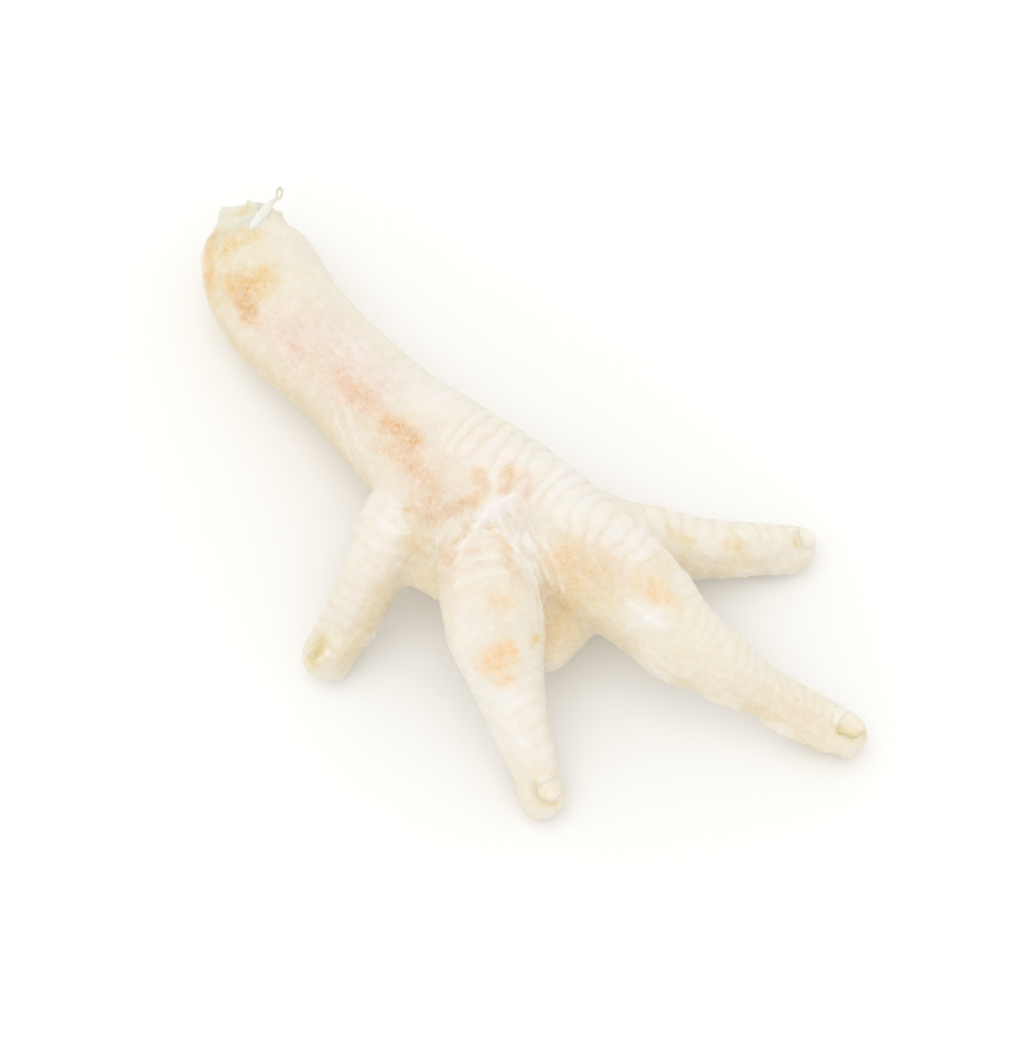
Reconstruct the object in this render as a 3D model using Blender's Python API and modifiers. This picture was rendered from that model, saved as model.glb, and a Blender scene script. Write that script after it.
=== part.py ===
# Raw chicken foot: a peeled shank with its four toes, cut off through the hock joint, the claws taken away.
# It lies on a flat surface, rolled over towards its outer side, and rests on the hock and the toes' tips.
# The long axis runs from the hock at -X to the middle toe at +X, the outer side faces +Y, and +Z is up.
# Lengths are millimetres throughout; the meshes are scaled to metres when they are made.

import math

import bmesh
import bpy
import numpy as np
from mathutils import Matrix, Vector
from mathutils.kdtree import KDTree

mm = 0.001
gap = 0.3                # air between one solid and the next
skinVoxel = 0.6          # grid on which the limbs grow together
skinSmoothing = 14       # passes that soften the corners where they meet
skinTriangles = 9400
restFlat = 0.02          # skin nearer than this to the surface below lies flat on it

# A station is the centre of a section (x, y, z), then half its width and half its depth.
# Depth runs towards the back of the limb, its scaled side, which "back" gives at the root and at the tip.
# "scales" gives the arc lengths between which the scales run, their pitch and how proud they stand.
# "folds" gives the same for the loose folds of skin round the root, and "pads" the arc lengths of the bulges
# under the toe's joints.
limbs = {
    "shank": {
        "stations": [
            (-65.5, 15.7, 8.8, 5.0, 5.3),
            (-64.0, 13.7, 9.2, 6.1, 6.4),
            (-62.0, 11.5, 9.4, 8.1, 8.6),
            (-58.7, 9.2, 9.7, 9.2, 10.2),
            (-53.4, 6.9, 10.0, 9.6, 10.5),
            (-46.2, 4.9, 10.6, 9.2, 10.2),
            (-34.5, 3.7, 11.9, 8.3, 9.5),
            (-23.4, 2.3, 13.3, 8.6, 10.2),
            (-9.0, 1.4, 15.3, 10.2, 11.7),
            (3.0, 2.3, 16.4, 10.5, 11.8),
            (15.5, 3.7, 16.7, 9.6, 10.5),
            (23.9, 4.7, 16.3, 8.6, 9.4),
            (30.9, 5.2, 15.4, 8.0, 8.4),
            (36.8, 4.8, 14.3, 7.0, 7.1),
            (41.7, 5.3, 13.0, 6.5, 6.5),
            (51.0, 7.6, 10.0, 4.6, 4.6),
            (57.1, 9.7, 7.4, 4.4, 4.1),
            (63.1, 11.6, 4.9, 4.3, 4.0),
            (67.6, 12.8, 3.6, 4.1, 3.9),
        ],
        "back": ((0.0, 0.67, 0.74), (-0.01, 0.78, 0.62)),
        "scales": (48.0, 143.0, 2.2, 0.28),
        "folds": (0.0, 0.0, 2.0, 0.0),
        "pads": (108.0, 119.0, 130.0),
    },
    "inner": {
        "stations": [
            (-0.6, -3.3, 14.1, 7.0, 6.6),
            (7.5, -6.6, 17.9, 8.1, 7.7),
            (13.2, -11.3, 18.8, 8.5, 7.7),
            (18.3, -15.6, 16.9, 7.7, 7.0),
            (23.1, -18.8, 14.1, 6.1, 6.0),
            (26.0, -20.4, 12.4, 5.4, 5.3),
            (29.9, -22.4, 9.9, 4.4, 4.4),
            (34.8, -25.1, 6.0, 3.9, 3.9),
            (38.5, -27.1, 3.2, 3.7, 3.8),
        ],
        "back": ((0.20, 0.10, 0.90), (0.54, 0.23, 0.81)),
        "scales": (22.0, 52.0, 2.8, 0.15),
        "folds": (2.0, 17.0, 2.7, 0.32),
        "pads": (26.0, 38.0),
    },
    "outer": {
        "stations": [
            (9.5, 7.9, 12.2, 5.6, 6.1),
            (17.8, 11.9, 10.9, 5.6, 6.0),
            (23.7, 16.3, 9.2, 5.5, 5.6),
            (29.9, 21.2, 7.3, 4.9, 5.0),
            (34.7, 26.5, 5.6, 4.3, 4.3),
            (39.1, 31.3, 4.0, 3.9, 3.8),
            (40.6, 33.0, 3.5, 3.7, 3.6),
        ],
        "back": ((-0.20, 0.65, 0.72), (-0.456, 0.605, 0.646)),
        "scales": (11.0, 47.0, 3.0, 0.30),
        "folds": (0.0, 0.0, 2.0, 0.0),
        "pads": (22.0, 31.0, 38.0),
    },
    "hind": {
        "stations": [
            (-7.6, -4.4, 15.0, 7.5, 7.5),
            (-7.3, -11.6, 14.6, 6.6, 6.4),
            (-6.0, -17.2, 12.6, 5.5, 5.4),
            (-4.7, -22.5, 10.3, 5.0, 4.9),
            (-3.9, -27.5, 7.5, 4.5, 4.4),
            (-3.5, -33.2, 3.8, 4.1, 4.1),
        ],
        "back": ((-0.5, -0.2, 0.80), (-0.25, -0.36, 0.90)),
        "scales": (15.0, 39.0, 2.5, 0.13),
        "folds": (5.0, 14.0, 2.5, 0.15),
        "pads": (24.0, 32.0),
    },
}
samplesPerSpan = 8
ringSides = 20
domeRings = 5
domeReach = {"root": 0.15, "tip": 0.75}     # length of the rounded ends, in half widths
scaleSpread = (0.60, 1.05)    # angles from the back, in radians, over which the scales fade out
soleSpread = (1.6, 2.6)       # and over which the pads begin
padProud = 0.55
padLength = 3.2
endFade = 6.0                 # distance past a limb's end that counts as one half width
blendPower = 8                # how sharply one limb's relief gives way to the next where they meet

# Webs of skin between neighbouring limbs: each is the hull of small balls (x, y, z, radius).
webs = {
    "inner_hind": [(-2.7, -13.5, 11.3, 3.4), (4.3, -12.5, 13.2, 3.6), (-4.9, -6.2, 12.2, 5.6)],
    "heel": [(-13.4, -5.0, 14.1, 4.0), (-7.6, -10.0, 14.1, 4.0), (-5.3, -3.4, 15.0, 7.5)],
    "inner_middle": [(23.4, -9.4, 10.2, 4.2), (23.2, 0.0, 9.6, 4.2), (12.9, 0.4, 12.2, 7.5)],
    "sole": [(3.8, -3.4, 9.8, 6.2), (15.8, -2.4, 9.2, 5.8)],
    "middle_outer": [(25.6, 14.2, 8.5, 2.2), (23.3, 12.6, 9.4, 4.7), (15.7, 9.4, 11.3, 5.6)],
}

# The stumps of the claws, in the toes' sockets. Each is an egg: half its width, height and length.
# "set" is its middle from the toe's last station: sideways, up the back and ahead; "raise" tips it up, in
# degrees. The socket opens by "mouth" from the egg's middle, the same way round, wider there by clawGroove.
claws = {
    "middle": {"toe": "shank", "half": (2.3, 2.0, 2.7), "set": (1.0, 2.8, -0.9), "raise": 4,
               "mouth": (0.6, 1.6, 1.4)},
    "inner": {"toe": "inner", "half": (2.3, 1.9, 2.6), "set": (0.2, 2.4, -2.5), "raise": 6,
              "mouth": (0.3, 2.2, 0.9)},
    "outer": {"toe": "outer", "half": (1.9, 1.9, 1.7), "set": (1.5, 1.4, 1.4), "raise": 25,
              "mouth": (0.9, 0.6, 1.4)},
    "hind": {"toe": "hind", "half": (1.9, 0.9, 2.0), "set": (0.7, 2.2, -1.0), "raise": 10,
             "mouth": (0.3, 2.8, 0.4)},
}
clawGap = 0.35
clawGroove = 0.7
eggSides, eggRings = 16, 10

# The joint end: a plug of cartilage with two shallow cups, seated in the cut hock.
# Each section of the plug is its place outward from the hock's end, half its width and half its depth.
jointPlug = [
    (-4.7, 3.4, 3.2),
    (-2.3, 5.0, 4.5),
    (-0.6, 5.1, 4.6),
    (0.2, 4.6, 4.1),
]
jointPlugAside = 1.2
seatOpening = 3.0        # how far the seat is cut clear past the plug's end
jointPlugSides = 24
jointCups = [(3.4, 3.6, 0.2), (3.4, -1.2, 0.2)]     # centres: outward, sideways, towards the back
jointCupRadius = 3.9
skinBite = {"at": (-67.6, 11.6, 15.0), "radius": 5.4}   # where the skin has drawn back from the cartilage

# Two flat cuts that square off the hock's end. Each is a box: its middle, half its width and height, and how
# far it leans to the right, in degrees. Both run straight through along cutThrough; cutUp is their height.
endCuts = [
    {"at": (-71.0, 14.8, 10.4), "half": (3.6, 1.5), "lean": 0.0},
    {"at": (-71.0, 10.6, 9.1), "half": (1.35, 2.75), "lean": 8.4},
]
cutThrough = (0.262, -0.290, 0.920)
cutUp = (-0.616, 0.684, 0.391)
cutReach = 15.0

# The end of a tendon, pulled out beside the joint.
tendonPath = [
    (-61.4, 12.3, 14.7),
    (-61.5, 14.1, 16.0),
    (-61.7, 16.1, 16.8),
    (-61.9, 18.0, 17.4),
    (-62.1, 19.4, 17.7),
]
tendonRadius = 0.6

# Base colour, linear, and roughness of each kind of surface.
surfaces = {
    "skin": ((0.87, 0.79, 0.68), 0.45),
    "cartilage": ((0.80, 0.79, 0.66), 0.35),
    "tendon": ((0.88, 0.87, 0.80), 0.40),
    "claw stump": ((0.87, 0.79, 0.60), 0.50),
}


def removeEverything():
    for thing in list(bpy.data.objects):
        bpy.data.objects.remove(thing, do_unlink=True)


def makeCollection(name):
    collection = bpy.data.collections.new(name)
    bpy.context.scene.collection.children.link(collection)
    return collection


def surface(name):
    material = bpy.data.materials.get(name)
    if material is None:
        colour, roughness = surfaces[name]
        material = bpy.data.materials.new(name)
        material.use_nodes = True
        shader = material.node_tree.nodes["Principled BSDF"]
        shader.inputs["Base Color"].default_value = (*colour, 1)
        shader.inputs["Roughness"].default_value = roughness
        shader.inputs["Metallic"].default_value = 0
    return material


def unit(v):
    v = np.asarray(v, float)
    return v / np.maximum(np.linalg.norm(v, axis=-1, keepdims=True), 1e-9)


def smoothstep(low, high, x):
    t = np.clip((x - low) / (high - low), 0, 1)
    return t * t * (3 - 2 * t)


def curveThrough(stations):
    """Catmull-Rom samples through the stations."""
    points = np.array(stations, float)
    points = np.vstack([2 * points[0] - points[1], points, 2 * points[-1] - points[-2]])
    rows = []
    for i in range(1, len(points) - 2):
        p0, p1, p2, p3 = points[i - 1:i + 3]
        for t in np.arange(samplesPerSpan) / samplesPerSpan:
            rows.append(0.5 * (2 * p1 + (p2 - p0) * t + (2 * p0 - 5 * p1 + 4 * p2 - p3) * t ** 2
                               + (3 * p1 - p0 - 3 * p2 + p3) * t ** 3))
    rows.append(points[-2])
    return np.array(rows)


def limbFrames(limb):
    """Centre, half sizes, directions and arc length at every sample along a limb."""
    rows = curveThrough(limb["stations"])
    centre = rows[:, :3]
    along = unit(np.gradient(centre, axis=0))
    run = np.linspace(0, 1, len(rows))[:, None]
    back = np.array(limb["back"][0]) * (1 - run) + np.array(limb["back"][1]) * run
    back = unit(back - along * np.sum(back * along, axis=1, keepdims=True))
    steps = np.linalg.norm(np.diff(centre, axis=0), axis=1)
    return {
        "centre": centre,
        "half": rows[:, 3:],
        "along": along,
        "back": back,
        "side": np.cross(along, back),
        "arc": np.concatenate([[0], np.cumsum(steps)]),
    }


def loft(bm, rings):
    """Closed body through rings of equal length."""
    rings = [[bm.verts.new(p) for p in ring] for ring in rings]
    sides = len(rings[0])
    for lower, upper in zip(rings, rings[1:]):
        for k in range(sides):
            n = (k + 1) % sides
            bm.faces.new((lower[k], lower[n], upper[n], upper[k]))
    bm.faces.new(rings[0][::-1])
    bm.faces.new(rings[-1])


def addLimb(bm, frames):
    half, along = frames["half"], frames["along"]
    turns = np.arange(ringSides)[:, None] / ringSides * 2 * math.pi
    last = len(half) - 1
    rise = np.arange(1, domeRings) / domeRings * math.pi / 2
    rows = []
    for angle in rise[::-1]:
        rows.append((0, -half[0].mean() * domeReach["root"] * math.sin(angle), math.cos(angle)))
    rows += [(i, 0.0, 1.0) for i in range(last + 1)]
    for angle in rise:
        rows.append((last, half[last].mean() * domeReach["tip"] * math.sin(angle), math.cos(angle)))
    rings = []
    for i, lift, shrink in rows:
        across = frames["side"][i] * half[i, 0] * np.sin(turns)
        up = frames["back"][i] * half[i, 1] * np.cos(turns)
        rings.append(frames["centre"][i] + along[i] * lift + shrink * (across + up))
    loft(bm, rings)


def pourInto(bm, piece):
    mesh = bpy.data.meshes.new("piece")
    piece.to_mesh(mesh)
    piece.free()
    bm.from_mesh(mesh)
    bpy.data.meshes.remove(mesh)


def addHull(bm, solids):
    """Adds the convex hull of some solids, each made in an empty bmesh by a function."""
    corners = bmesh.new()
    for makeSolid in solids:
        makeSolid(corners)
    hull = bmesh.new()
    for v in corners.verts:
        hull.verts.new(v.co)
    corners.free()
    bmesh.ops.convex_hull(hull, input=hull.verts)
    bmesh.ops.delete(hull, geom=[v for v in hull.verts if not v.link_faces], context="VERTS")
    pourInto(bm, hull)


def addBall(bm, at, radius):
    bmesh.ops.create_icosphere(bm, subdivisions=2, radius=radius, matrix=Matrix.Translation(at))


def newObject(name, bm, collection, scale=mm):
    bmesh.ops.recalc_face_normals(bm, faces=bm.faces)
    bmesh.ops.scale(bm, vec=(scale, scale, scale), verts=bm.verts)
    mesh = bpy.data.meshes.new(name)
    bm.to_mesh(mesh)
    bm.free()
    thing = bpy.data.objects.new(name, mesh)
    collection.objects.link(thing)
    return thing


def asCutter(thing):
    thing.hide_render = True
    thing.display_type = "WIRE"
    return thing


def cutAway(thing, cutter):
    cut = thing.modifiers.new(cutter.name, "BOOLEAN")
    cut.operation = "DIFFERENCE"
    cut.solver = "EXACT"
    cut.object = cutter


def evaluatedMesh(thing, name):
    bpy.context.view_layer.update()
    depsgraph = bpy.context.evaluated_depsgraph_get()
    return bpy.data.meshes.new_from_object(thing.evaluated_get(depsgraph), depsgraph=depsgraph)


def vertexRows(mesh):
    flat = np.empty(len(mesh.vertices) * 3)
    mesh.vertices.foreach_get("co", flat)
    return flat.reshape(-1, 3)


def nearestSample(frames, points):
    tree = KDTree(len(frames["centre"]))
    for i, c in enumerate(frames["centre"]):
        tree.insert(Vector(c), i)
    tree.balance()
    return np.array([tree.find(Vector(p))[1] for p in points])


def limbCoordinates(frames, points):
    """Arc length, angle from the back and relative distance from the limb's centre line."""
    i = nearestSample(frames, points)
    offset = points - frames["centre"][i]
    ahead = np.sum(offset * frames["along"][i], axis=1)
    across = np.sum(offset * frames["side"][i], axis=1)
    up = np.sum(offset * frames["back"][i], axis=1)
    width, depth = frames["half"][i].T
    ratio = np.sqrt((across / width) ** 2 + (up / depth) ** 2 + (ahead / endFade) ** 2)
    return frames["arc"][i] + ahead, np.arctan2(across, up), ratio


def limbRelief(limb, arc, angle):
    start, end, pitch, proud = limb["scales"]
    place = (arc - start) / pitch
    phase = place - np.floor(place)
    pillow = 1 - np.abs(2 * phase - 1) ** 3
    window = 1 - smoothstep(*scaleSpread, np.abs(angle))
    window = window * smoothstep(start - 1, start + 3, arc) * (1 - smoothstep(end - 2, end, arc))
    relief = proud * window * (pillow - 0.4)
    start, end, pitch, proud = limb["folds"]
    window = smoothstep(start, start + 3, arc) * (1 - smoothstep(end - 3, end, arc))
    relief = relief + proud * window * np.sin(2 * math.pi * arc / pitch + 0.8 * np.sin(3 * angle))
    under = smoothstep(*soleSpread, np.abs(angle))
    for pad in limb["pads"]:
        relief = relief + padProud * under * np.exp(-((arc - pad) / padLength) ** 2)
    return relief


def skinRelief(frames, points):
    """How far the skin stands proud of the smooth limbs, blended where limbs meet."""
    total = np.zeros(len(points))
    weights = np.zeros(len(points))
    for name, limb in limbs.items():
        arc, angle, ratio = limbCoordinates(frames[name], points)
        weight = np.maximum(ratio, 0.2) ** -float(blendPower)
        total += weight * limbRelief(limb, arc, angle)
        weights += weight
    return total / weights


def buildSkin(frames, collection):
    bm = bmesh.new()
    for name in limbs:
        addLimb(bm, frames[name])
    for balls in webs.values():
        addHull(bm, [lambda b, ball=ball: addBall(b, ball[:3], ball[3]) for ball in balls])
    blank = newObject("limbs", bm, collection, scale=1)
    remesh = blank.modifiers.new("grow together", "REMESH")
    remesh.mode = "VOXEL"
    remesh.voxel_size = skinVoxel
    soften = blank.modifiers.new("soften", "SMOOTH")
    soften.factor = 0.5
    soften.iterations = skinSmoothing
    mesh = evaluatedMesh(blank, "skin")
    points = vertexRows(mesh)
    normals = np.array([v.normal[:] for v in mesh.vertices])
    points = points + normals * skinRelief(frames, points)[:, None]
    points[:, 2] = np.maximum(points[:, 2], 0)
    mesh.vertices.foreach_set("co", points.ravel())
    blank.modifiers.clear()
    blank.data = mesh
    mesh.calc_loop_triangles()
    thin = blank.modifiers.new("fewer faces", "DECIMATE")
    thin.ratio = skinTriangles / len(mesh.loop_triangles)
    thin.use_collapse_triangulate = True
    mesh = evaluatedMesh(blank, "foot")
    bpy.data.objects.remove(blank, do_unlink=True)
    points = vertexRows(mesh)
    points[:, 2] = np.where(points[:, 2] < restFlat, 0, points[:, 2])
    mesh.vertices.foreach_set("co", (points * mm).ravel())
    mesh.name = "foot"
    mesh.materials.clear()
    mesh.materials.append(surface("skin"))
    mesh.shade_smooth()
    foot = bpy.data.objects.new("foot", mesh)
    collection.objects.link(foot)
    return foot


def localAxes(frames, sample, raiseBy=0.0):
    """Columns: sideways, towards the back, ahead; ahead is tipped towards the back by some degrees."""
    tip = math.radians(raiseBy)
    ahead = frames["along"][sample] * math.cos(tip) + frames["back"][sample] * math.sin(tip)
    back = frames["back"][sample] * math.cos(tip) - frames["along"][sample] * math.sin(tip)
    return np.column_stack([frames["side"][sample], back, ahead])


def placed(axes, at):
    matrix = Matrix([list(row) + [0] for row in axes] + [[0, 0, 0, 1]])
    matrix.translation = Vector(at)
    return matrix


def addEgg(bm, axes, at, half, grow=0.0):
    size = [h + grow for h in half]
    shape = placed(axes, at) @ Matrix.Diagonal((*size, 1))
    bmesh.ops.create_uvsphere(bm, u_segments=eggSides, v_segments=eggRings, radius=1, matrix=shape)


def buildClaw(name, claw, frames, parts, cutters, foot):
    toe = frames[claw["toe"]]
    axes = localAxes(toe, -1, claw["raise"])
    at = toe["centre"][-1] + axes @ np.array(claw["set"])
    bm = bmesh.new()
    addEgg(bm, axes, at, claw["half"])
    stump = newObject("claw_stump_" + name, bm, parts)
    stump.data.shade_smooth()
    stump.data.materials.append(surface("claw stump"))
    mouth = at + axes @ np.array(claw["mouth"])
    bm = bmesh.new()
    addHull(bm, [lambda b: addEgg(b, axes, at, claw["half"], clawGap),
                 lambda b: addEgg(b, axes, mouth, claw["half"], clawGroove)])
    cutAway(foot, asCutter(newObject("claw_socket_" + name, bm, cutters)))


def plugRings(axes, at, grow, opening):
    side, back, ahead = axes.T
    turns = np.arange(jointPlugSides)[:, None] / jointPlugSides * 2 * math.pi
    ends = [-grow] + [0] * (len(jointPlug) - 2) + [opening]
    rings = []
    for (out, width, depth), end in zip(jointPlug, ends):
        centre = at - ahead * (out + end) + side * jointPlugAside
        rings.append(centre + side * (width + grow) * np.sin(turns) + back * (depth + grow) * np.cos(turns))
    return rings


def roundCutter(name, cutters, at, radius):
    bm = bmesh.new()
    bmesh.ops.create_icosphere(bm, subdivisions=4, radius=radius, matrix=Matrix.Translation(at))
    return asCutter(newObject(name, bm, cutters))


def buildJointPlug(frames, parts, cutters, foot):
    axes = localAxes(frames, 0)
    at = frames["centre"][0]
    bm = bmesh.new()
    loft(bm, plugRings(axes, at, 0, 0))
    plug = newObject("joint_cartilage", bm, parts)
    plug.data.materials.append(surface("cartilage"))
    for k, (out, side, back) in enumerate(jointCups):
        centre = at + axes @ np.array([side, back, -out])
        cutAway(plug, roundCutter("joint_cup_%d" % k, cutters, centre, jointCupRadius))
    seat = bmesh.new()
    loft(seat, plugRings(axes, at, gap, seatOpening))
    cutAway(foot, asCutter(newObject("joint_seat", seat, cutters)))
    cutAway(foot, roundCutter("skin_edge", cutters, skinBite["at"], skinBite["radius"]))
    return plug


def squareOffEnd(cutters, pierced):
    through, up = unit(cutThrough), unit(cutUp)
    across = np.cross(up, through)
    for k, cut in enumerate(endCuts):
        lean = math.radians(cut["lean"])
        axes = np.column_stack([
            across * math.cos(lean) - up * math.sin(lean),
            up * math.cos(lean) + across * math.sin(lean),
            through,
        ])
        size = [2 * h for h in (*cut["half"], cutReach)]
        bm = bmesh.new()
        bmesh.ops.create_cube(bm, size=1, matrix=placed(axes, cut["at"]) @ Matrix.Diagonal((*size, 1)))
        box = asCutter(newObject("end_cut_%d" % k, bm, cutters))
        for thing in pierced:
            cutAway(thing, box)


def addTendon(name, collection, radius):
    curve = bpy.data.curves.new(name, "CURVE")
    curve.dimensions = "3D"
    spline = curve.splines.new("NURBS")
    spline.points.add(len(tendonPath) - 1)
    for point, place in zip(spline.points, tendonPath):
        point.co = (*[v * mm for v in place], 1)
    spline.use_endpoint_u = True
    spline.order_u = 3
    curve.bevel_depth = radius * mm
    curve.bevel_resolution = 2
    curve.resolution_u = 4
    curve.use_fill_caps = True
    path = bpy.data.objects.new(name + " path", curve)
    collection.objects.link(path)
    bm = bmesh.new()
    bm.from_mesh(evaluatedMesh(path, name))
    bmesh.ops.remove_doubles(bm, verts=bm.verts, dist=0.001 * mm)
    bpy.data.objects.remove(path, do_unlink=True)
    return newObject(name, bm, collection, scale=1)


def buildTendon(parts, cutters, pierced):
    tendon = addTendon("tendon", parts, tendonRadius)
    tendon.data.materials.append(surface("tendon"))
    tendon.data.shade_smooth()
    hole = asCutter(addTendon("tendon_hole", cutters, tendonRadius + gap))
    for thing in pierced:
        cutAway(thing, hole)


def main():
    removeEverything()
    parts = makeCollection("chicken foot")
    cutters = makeCollection("cutters")
    frames = {name: limbFrames(limb) for name, limb in limbs.items()}
    foot = buildSkin(frames, parts)
    for name, claw in claws.items():
        buildClaw(name, claw, frames, parts, cutters, foot)
    plug = buildJointPlug(frames["shank"], parts, cutters, foot)
    squareOffEnd(cutters, (foot, plug))
    buildTendon(parts, cutters, (foot, plug))


if __name__ == "__main__":
    main()
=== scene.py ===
# A raw chicken foot: a peeled shank and four toes without their claws, cut off through the hock joint.
# Shapes are worked out in millimetres and scaled to metres when a piece is made.
import math

import bmesh
import bpy
import numpy as np
from mathutils import Matrix, Vector, noise
from mathutils.bvhtree import BVHTree


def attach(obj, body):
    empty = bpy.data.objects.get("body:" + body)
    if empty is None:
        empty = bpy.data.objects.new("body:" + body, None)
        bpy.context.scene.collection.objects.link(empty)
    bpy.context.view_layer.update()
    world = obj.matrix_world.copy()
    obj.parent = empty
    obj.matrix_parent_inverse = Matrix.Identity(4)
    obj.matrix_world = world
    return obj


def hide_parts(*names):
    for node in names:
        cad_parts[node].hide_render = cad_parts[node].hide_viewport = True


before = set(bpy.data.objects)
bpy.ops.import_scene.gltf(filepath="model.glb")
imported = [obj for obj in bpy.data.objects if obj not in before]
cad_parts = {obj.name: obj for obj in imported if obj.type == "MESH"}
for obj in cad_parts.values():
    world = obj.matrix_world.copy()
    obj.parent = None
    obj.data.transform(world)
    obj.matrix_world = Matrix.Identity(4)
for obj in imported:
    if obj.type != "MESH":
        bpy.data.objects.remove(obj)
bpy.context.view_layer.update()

mm = 0.001
print("frame loaded:", ", ".join(sorted(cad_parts)))

# The camera stands where the photograph was taken from; target and distance are millimetres.
view = {
    "width": 1024,
    "height": 1039,
    "target": (4.6, 3.0, 11.3),
    "azimuth": 42,
    "elevation": 67,
    "distance": 513.3,
    "lens": 110,
    "sensor": 36,
}

# A station is the centre of a section (x, y, z), then half its width and half its depth.
# Depth runs towards the limb's scaled back, whose direction "back" gives at the root and at the tip.
# "rows" are the rows of scales: angle of the row's middle from the back and half its spread, in degrees,
# then the arc lengths where it starts and ends, the pitch and how proud the scales stand.
# "folds" are loose folds round the root: start, end, pitch, proud. "pads" are the bulges under the joints.
limbs = {
    "shank": {
        "stations": [
            (-65.5, 15.7, 8.8, 5.0, 5.3),
            (-64.0, 13.7, 9.2, 6.1, 6.4),
            (-62.0, 11.5, 9.4, 8.1, 8.6),
            (-58.7, 9.2, 9.7, 9.2, 10.2),
            (-53.4, 6.9, 10.0, 9.6, 10.5),
            (-46.2, 4.9, 10.6, 9.2, 10.2),
            (-34.5, 3.7, 11.9, 8.3, 9.5),
            (-23.4, 2.3, 13.3, 8.6, 10.2),
            (-9.0, 1.4, 15.3, 10.2, 11.7),
            (3.0, 2.3, 16.4, 10.5, 11.8),
            (15.5, 3.7, 16.7, 9.6, 10.5),
            (23.9, 4.7, 16.3, 8.6, 9.4),
            (30.9, 5.2, 15.4, 8.0, 8.4),
            (36.8, 4.8, 14.3, 7.0, 7.1),
            (41.7, 5.3, 13.0, 6.5, 6.5),
            (51.0, 7.6, 10.0, 4.6, 4.6),
            (57.1, 9.7, 7.4, 4.4, 4.1),
            (63.1, 11.6, 4.9, 4.3, 4.0),
            (67.6, 12.8, 3.6, 4.1, 3.9),
        ],
        "back": ((0.0, 0.67, 0.74), (-0.01, 0.78, 0.62)),
        "rows": [(14, 40, 20, 60, 3.4, 0.07), (12, 42, 60, 99, 2.5, 0.22), (8, 48, 101, 143, 2.2, 0.13),
                 (-60, 28, 30, 104, 2.8, 0.14)],
        "folds": (0.0, 0.0, 2.0, 0.0),
        "pads": (108.0, 119.0, 130.0),
    },
    "inner": {
        "stations": [
            (-0.6, -3.3, 14.1, 7.0, 6.6),
            (7.5, -6.6, 17.9, 8.1, 7.7),
            (13.2, -11.3, 18.8, 8.5, 7.7),
            (18.3, -15.6, 16.9, 7.7, 7.0),
            (23.1, -18.8, 14.1, 6.1, 6.0),
            (26.0, -20.4, 12.4, 5.4, 5.3),
            (29.9, -22.4, 9.9, 4.4, 4.4),
            (34.8, -25.1, 6.0, 3.9, 3.9),
            (38.5, -27.1, 3.2, 3.7, 3.8),
        ],
        "back": ((0.20, 0.10, 0.90), (0.54, 0.23, 0.81)),
        "rows": [(0, 50, 24, 52, 2.8, 0.12)],
        "folds": (2.0, 17.0, 2.7, 0.09),
        "pads": (26.0, 38.0),
    },
    "outer": {
        "stations": [
            (9.5, 7.9, 12.2, 5.6, 6.1),
            (17.8, 11.9, 10.9, 5.6, 6.0),
            (23.7, 16.3, 9.2, 5.5, 5.6),
            (29.9, 21.2, 7.3, 4.9, 5.0),
            (34.7, 26.5, 5.6, 4.3, 4.3),
            (39.1, 31.3, 4.0, 3.9, 3.8),
            (40.6, 33.0, 3.5, 3.7, 3.6),
        ],
        "back": ((-0.20, 0.65, 0.72), (-0.456, 0.605, 0.646)),
        "rows": [(0, 55, 11, 47, 3.0, 0.20)],
        "folds": (0.0, 0.0, 2.0, 0.0),
        "pads": (22.0, 31.0, 38.0),
    },
    "hind": {
        "stations": [
            (-7.6, -4.4, 15.0, 7.5, 7.5),
            (-7.3, -11.6, 14.6, 6.6, 6.4),
            (-6.0, -17.2, 12.6, 5.5, 5.4),
            (-4.7, -22.5, 10.3, 5.0, 4.9),
            (-3.9, -27.5, 7.5, 4.5, 4.4),
            (-3.5, -33.2, 3.8, 4.1, 4.1),
        ],
        "back": ((-0.5, -0.2, 0.80), (-0.25, -0.36, 0.90)),
        "rows": [(0, 50, 15, 39, 2.5, 0.12)],
        "folds": (5.0, 14.0, 2.5, 0.10),
        "pads": (24.0, 32.0),
    },
}

# Webs of skin between neighbouring limbs: each is the hull of small balls (x, y, z, radius).
webs = {
    "inner to hind": [(-2.7, -13.5, 11.3, 3.4), (4.3, -12.5, 13.2, 3.6), (-4.9, -6.2, 12.2, 5.6)],
    "heel": [(-13.4, -5.0, 14.1, 4.0), (-7.6, -10.0, 14.1, 4.0), (-5.3, -3.4, 15.0, 7.5)],
    "inner to middle": [(23.4, -9.4, 10.2, 4.2), (23.2, 0.0, 9.6, 4.2), (12.9, 0.4, 12.2, 7.5)],
    "sole": [(3.8, -3.4, 9.8, 6.2), (15.8, -2.4, 9.2, 5.8)],
    "middle to outer": [(25.6, 14.2, 8.5, 2.2), (23.3, 12.6, 9.4, 4.7), (15.7, 9.4, 11.3, 5.6)],
}


def unit(v):
    v = np.asarray(v, float)
    return v / np.maximum(np.linalg.norm(v, axis=-1, keepdims=True), 1e-9)


def smoothStep(low, high, x):
    t = np.clip((x - low) / (high - low), 0, 1)
    return t * t * (3 - 2 * t)


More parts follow.
